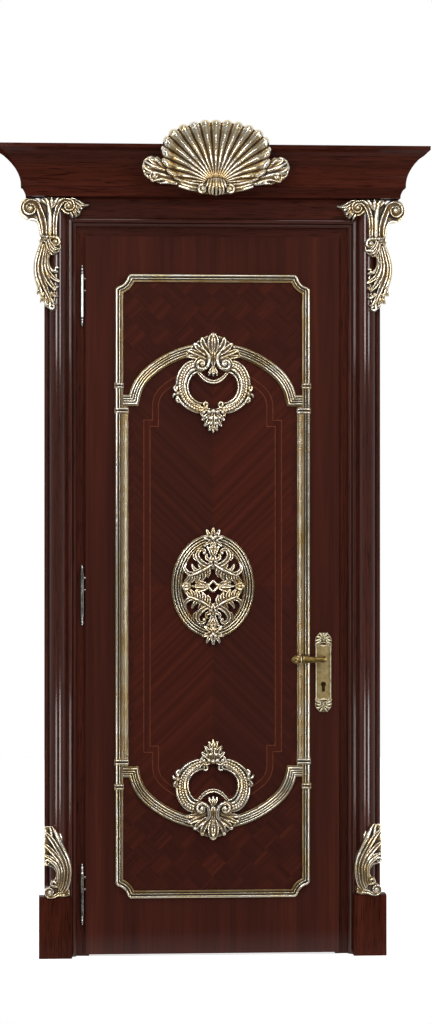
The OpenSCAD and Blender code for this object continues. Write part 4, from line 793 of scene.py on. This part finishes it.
# Medallion: pierced scrolls and leaves round a diamond, set inside the oval ring with a small crest at each end.
# Carved from one board, gilded, and pinned through to the leaf.
quarter_scroll = [
    gouge([(0, 19, 9, 24), (18, 0, 9, 24)]),
    flute([(1, 74, 14, 22), (16, 64, 20, 26), (36, 53, 25, 28), (58, 43, 24, 27), (84, 34, 12, 22)]),
    gouge([(4, 73, 6, 27), (20, 62, 8, 31), (38, 52, 9, 34), (60, 42, 8, 32), (86, 33, 4, 25)]),
    flute([(32, 55, 12, 28), (44, 67, 12, 27), (49, 79, 5, 20)]),
    flute([(50, 47, 13, 28), (64, 59, 13, 26), (72, 75, 5, 18)]),
    flute([(66, 40, 14, 27), (85, 46, 15, 26), (95, 60, 12, 22), (89, 80, 5, 16)]),
    flute([(18, 62, 12, 28), (14, 46, 15, 27), (19, 29, 6, 22)]),
    flute([(34, 53, 13, 29), (30, 34, 16, 28), (37, 20, 6, 22)]),
    flute([(50, 46, 13, 29), (49, 28, 15, 28), (59, 11, 6, 22)]),
    flute([(66, 39, 13, 27), (67, 24, 15, 26), (78, 10, 6, 20)]),
    flute([(80, 34, 12, 25), (85, 24, 13, 24), (97, 16, 5, 18)]),
    flute([(102, 2, 13, 22), (89, 6, 14, 27), (75, 3, 6, 22)]),
    gouge([(102, 5, 8, 22), (92, 12, 9, 24), (80, 13, 4, 20)]),
    boss(100, 0, 7, 28),
    flute([(17, 3, 8, 23), (32, 10, 14, 27), (48, 14, 12, 25), (60, 11, 5, 20)]),
    flute([(16, 0, 8, 24), (38, 0, 14, 29), (56, 0, 12, 27), (72, 0, 5, 22)]),
    flute([(4, 56, 14, 24), (9, 76, 16, 28), (4, 98, 13, 25)]),
    flute([(8, 66, 14, 26), (30, 74, 18, 30), (47, 89, 19, 29), (53, 106, 16, 25), (43, 122, 13, 23),
           (29, 119, 11, 24), (28, 108, 8, 26)]),
    flute([(44, 85, 12, 26), (61, 94, 12, 24), (66, 109, 5, 17)]),
    flute([(8, 86, 13, 26), (22, 95, 13, 26), (20, 109, 6, 22)]),
    flute([(2, 100, 13, 24), (10, 118, 13, 25), (20, 133, 7, 21)]),
    boss(30, 111, 6, 29), boss(7, 81, 5, 33),
]
crest = [
    flute([(0, 152, 14, 26), (0, 180, 15, 30), (0, 196, 7, 25)]),
    flute([(5, 160, 12, 26), (17, 178, 13, 28), (22, 190, 6, 23)]),
    flute([(6, 156, 12, 26), (26, 164, 13, 27), (37, 167, 6, 22)]),
    flute([(5, 150, 10, 25), (20, 142, 11, 26), (30, 133, 6, 23)]),
    flute([(2, 148, 10, 25), (6, 132, 10, 25), (3, 118, 6, 22)]),
    boss(8, 166, 6, 32), boss(13, 153, 5, 30), boss(0, 160, 7, 33),
]
half_scroll = quarter_scroll + crest
tracery = half_scroll + flipped(half_scroll)
tracery = tracery + flipped(tracery, 2)
scrolls = carve("medallion_scrolls_carved", tracery, (0, leaf_front, leaf_middle), voxel=1.56, soften=1)
place_carving(scrolls, "leaf", "medallion_carving")


# Handle furniture: plates, levers and the lock's face of cast brass, chased, darkened and polished back.
# The brown patina stays in patches, and the high places are bright.
def old_brass(name, ramp, gloss, chased=None):
    """Cast brass with a patina in patches of 15 mm; on chased pieces the attribute darkens the hollows between two
    levels, partly as patina and partly as painted shade."""
    material, tree, shader, place = new_finish(name, {"Metallic": 1.0})
    patina = add(tree, "TexNoise", {"Vector": place, "Scale": 70.0, "Detail": 6, "Roughness": 0.65})
    level = patina
    if chased:
        # Painted shade: the hollows are darkened beyond the patina, and open places are lightened.
        hollow = add(tree, "Attribute", attribute_name="hollow").outputs["Fac"]
        open_share = add(tree, "MapRange", {0: hollow, 1: chased[0], 2: chased[1], 3: 1.35, 4: 0.12})
        level = add(tree, "Math", {0: patina, 1: open_share}, operation="MULTIPLY")
    shade = add(tree, "ValToRGB", {0: level}, stops=ramp)
    rough = add(tree, "MapRange", {0: patina, 1: 0.3, 2: 0.7, 3: gloss + 0.1, 4: gloss - 0.06})
    plug(shader, {"Base Color": shade, "Roughness": rough})
    return material


brass_tones = [(0.1, "#1f1508"), (0.3, "#6d5729"), (0.44, "#9c8450"), (0.66, "#efe3c2")]
antique_brass = old_brass("antiqued_brass",
                          [(0.2, "#6a5834"), (0.4, "#8d784d"), (0.55, "#97865e"), (0.75, "#a49671")], 0.46)
chased_brass = old_brass("antiqued_chased_brass_with_painted_shade", brass_tones, 0.32, (0.42, 0.57))
lever_tones = [(0.1, "#1f1508"), (0.3, "#5f4b22"), (0.5, "#957c49"), (0.72, "#d8c595")]
lever_brass = old_brass("antiqued_lever_brass_with_painted_shade", lever_tones, 0.3, (0.25, 0.62))
# Painted shade: the lock cylinder sits deep in its hole, so its brass is coloured near black for the shade there.
shade_dark_brass = old_brass("lock_brass_painted_dark_as_shade",
                       [(0.1, "#0f0b06"), (0.3, "#241b0e"), (0.5, "#32260f"), (0.7, "#4a3a1c")], 0.4)
dress(antique_brass, "plate_front", "plate_rear", "plate_screws", "lock_faceplate", "latch_bolt", "dead_bolt")
dress(shade_dark_brass, "lock_cylinder", "cylinder_plug")


def cast(name, parts, at, voxel, finish, body, *names):
    """A brass casting from strokes; it stands for the CAD nodes that are named."""
    piece = carve(name, parts, at, voxel, soften=1)
    piece.data.materials.append(finish)
    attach(piece, body)
    if names:
        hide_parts(*names)


half_plate = []
for z in np.arange(-88, 89, 4.4):
    half_plate.append(gouge([(21.2, z - 2.4, 2.6, 2.6), (24, z, 3.2, 3.6), (26.4, z + 2.4, 2.6, 2.2)], steps=2))
half_plate += [
    bed([(20.4, -92), (26.6, -92), (26.6, 92), (20.4, 92)], 1.4),
    gouge([(19.6, -88, 1.8, 2.4), (19.6, 88, 1.8, 2.4)]),
]
half_end = [
    bed([(0, 86), (19, 93), (27, 92), (28, 104), (26, 116), (18, 127), (8, 132), (0, 133)], 1.6),
    gouge([(19.5, 86, 2, 3), (16, 94, 2.4, 4), (8, 99, 2.4, 4.2), (0, 100, 2.4, 4.2)]),
    gouge([(8, 104, 5, 4.4), (15, 101, 7, 6), (23, 97, 6, 5.4), (28, 90, 3.4, 4)]),
    gouge([(7, 108, 5, 4.8), (17, 109, 7, 6.4), (28, 105, 4, 4.4)]),
    gouge([(5, 113, 5, 4.8), (14, 118, 7, 6.4), (24, 119, 4, 4.4)]),
    gouge([(3, 117, 5, 4.8), (8, 126, 7, 6.4), (14, 132, 4, 4.4)]),
    boss(25, 95, 2, 7, 8), boss(10, 106, 2.6, 7, 9), boss(12, 113.5, 2.2, 7, 9),
]
half_plate += half_end + flipped(half_end, 2)
tip = [flute([(0, 103, 7, 5), (0, 118, 8, 7.5), (0, 132, 4, 5)]), boss(0, 108, 3, 8, 10)]
whole_plate = half_plate + flipped(half_plate) + tip + flipped(tip, 2)
handle_x, plate_face, plate_middle = 372, -22, 947
cast("plate_front_chasing", whole_plate, (handle_x, plate_face, plate_middle), 0.7, chased_brass, "leaf")


def ovals(stations, lobes=0, n=28):
    """A bar along minus x through oval sections: distance, half height, half depth and how deep its lobes are."""
    turn = np.linspace(0, 2 * math.pi, n, endpoint=False)
    points = []
    for l, high, deep, cut in stations:
        k = 1 + cut * np.cos(lobes * turn + l * 0.35)
        points.append(np.stack([np.full(n, -l), deep * k * np.cos(turn), high * k * np.sin(turn)], axis=1))
    m = len(stations)
    faces = [(i * n + j, (i + 1) * n + j, (i + 1) * n + (j + 1) % n,
              i * n + (j + 1) % n) for i in range(m - 1) for j in range(n)]
    return np.vstack(points), faces + [tuple(range(n)), tuple(range(m * n - 1, (m - 1) * n - 1, -1))]


grip = ovals([(-9, 2, 2, 0), (-8, 6, 5, 0), (-4, 8.5, 7.5, 0), (2, 9, 8, 0), (12, 8.4, 7.6, 0), (30, 9.2, 7.4, 0),
              (50, 10.8, 7.8, 0),
              (66, 12.2, 8.2, 0), (72, 12.6, 8.4, 0), (74, 10.5, 7.2, 0), (76, 10.5, 7.2, 0), (78, 13, 8.8, 0),
              (81, 13, 8.8, 0),
              (83, 10.5, 7.4, 0), (86, 11, 7.8, 0.05), (92, 12.6, 9, 0.14), (98, 12.6, 9, 0.16), (104, 11, 8, 0.14),
              (109, 7.5, 6, 0.1),
              (112, 2.5, 2.5, 0)], 6)
neck = ovals([(0, 7.9, 7.9, 0), (9.2, 7.9, 7.9, 0), (9.25, 11, 11, 0), (12, 11, 11, 0), (15, 8.6, 8.6, 0),
              (23, 7.2, 7.2, 0),
              (46, 8, 8, 0), (54, 6.4, 6.4, 0)])
neck = (np.stack([neck[0][:, 1], neck[0][:, 0], neck[0][:, 2]], axis=1), [tuple(reversed(f)) for f in neck[1]])
lever = [(grip[0] + np.array([0, -53, 0]), grip[1]), neck]
leaf_back, spindle_z = 33, 992
for name, strokes, face in (("lever_front", lever, leaf_front), ("lever_rear", flipped(lever, 1), leaf_back)):
    cast(name + "_cast", strokes, (handle_x, face, spindle_z), 0.9, lever_brass, "handle", name)


# Stage: a pale floor that keeps the shadow, a white studio behind and soft boxes in front of a dim room.
# The camera sees white everywhere and metal mirrors it from behind; the light on the door comes from the lamps.
bpy.ops.object.select_all(action="DESELECT")
bpy.ops.mesh.primitive_plane_add(size=8, location=(0, 3.4, 0))
floor = bpy.context.object
floor.name = "studio_floor"
pale_floor, tree, shader, place = new_finish("pale_painted_floor", {"Emission Color": (1, 1, 1, 1), "Roughness": 0.9})
ray = add(tree, "LightPath")
depth = add(tree, "SeparateXYZ", {0: place})
behind = add(tree, "MapRange", {0: depth.outputs[1], 1: -3.95, 2: -3.3, 3: 0.0, 4: 1.0})
mirrored = add(tree, "Math", {0: ray.outputs["Is Glossy Ray"], 1: behind}, operation="MULTIPLY")
seen_ray = add(tree, "Math", {0: ray.outputs["Is Camera Ray"], 1: mirrored}, operation="MAXIMUM")
seen_ray = add(tree, "Math", {0: seen_ray, 1: ray.outputs["Is Transmission Ray"]}, operation="MAXIMUM")
glow = add(tree, "Math", {0: seen_ray, 1: 0.72}, operation="MULTIPLY")
dim = add(tree, "Math", {0: ray.outputs["Is Glossy Ray"], 1: mirrored}, operation="SUBTRACT")
paint = add(tree, "Mix", {0: dim, 6: linear("#f1f0ee"), 7: linear("#000000")}, data_type="RGBA")
plug(shader, {"Base Color": paint.outputs[2], "Emission Strength": glow})
floor.data.materials.append(pale_floor)

world = bpy.data.worlds.new("studio")
bpy.context.scene.world = world
world.use_nodes = True
tree = world.node_tree
background = tree.nodes["Background"]
ray = add(tree, "LightPath")
way = add(tree, "SeparateXYZ", {0: add(tree, "TexCoord").outputs["Generated"]})
room = add(tree, "MapRange", {0: way.outputs[1], 1: -0.93, 2: 0.4, 3: 0.07, 4: 1.0})
behind = add(tree, "MapRange", {0: way.outputs[1], 1: 0.0, 2: 0.3, 3: 0.0, 4: 1.0})
mirrored = add(tree, "Math", {0: ray.outputs["Is Glossy Ray"], 1: behind}, operation="MULTIPLY")
shown = add(tree, "Math", {0: ray.outputs["Is Camera Ray"], 1: mirrored}, operation="MAXIMUM")
shown = add(tree, "Math", {0: shown, 1: ray.outputs["Is Transmission Ray"]}, operation="MAXIMUM")
light = add(tree, "Mix", {0: shown, 2: room, 3: 1.0})
plug(background, {"Strength": light, "Color": (1, 1, 1, 1)})

for name, spot, size, power in (
        ("high_box_left", (-1.4, -4.0, 2.85), (1.2, 1.3), 58),
        ("high_box_right", (1.95, -4.0, 2.85), (1.2, 1.3), 42),
        ("low_box_left", (-1.6, -4.0, 0.3), (1.2, 0.55), 17),
        ("low_box_right", (1.8, -4.0, 0.3), (1.2, 0.55), 23),
        ("top_box", (0.0, -2.6, 4.6), (2.6, 1.2), 35)):
    lamp = bpy.data.lights.new(name, "AREA")
    lamp.shape, lamp.size, lamp.size_y, lamp.energy = "RECTANGLE", size[0], size[1], power
    holder = bpy.data.objects.new(name, lamp)
    bpy.context.collection.objects.link(holder)
    holder.location = spot
    holder.visible_camera = False
    aim = np.array([0, 0, 1.3]) - np.array(spot)
    holder.rotation_euler = (math.acos(-aim[2] / np.linalg.norm(aim)), 0, math.atan2(-aim[0], aim[1]))

turn, distance, height, seen_height = math.radians(-3.7), 9.3, 1.485, 3.43
camera = bpy.data.objects.new("camera", bpy.data.cameras.new("camera"))
bpy.context.collection.objects.link(camera)
camera.location = (0.011 + math.sin(turn) * distance, -0.017 - math.cos(turn) * distance, height)
camera.rotation_euler = (math.pi / 2, 0, turn)
camera.data.sensor_width = 36
camera.data.lens = camera.data.sensor_width * distance / seen_height
bpy.context.scene.camera = camera
bpy.context.scene.view_settings.view_transform = "Standard"
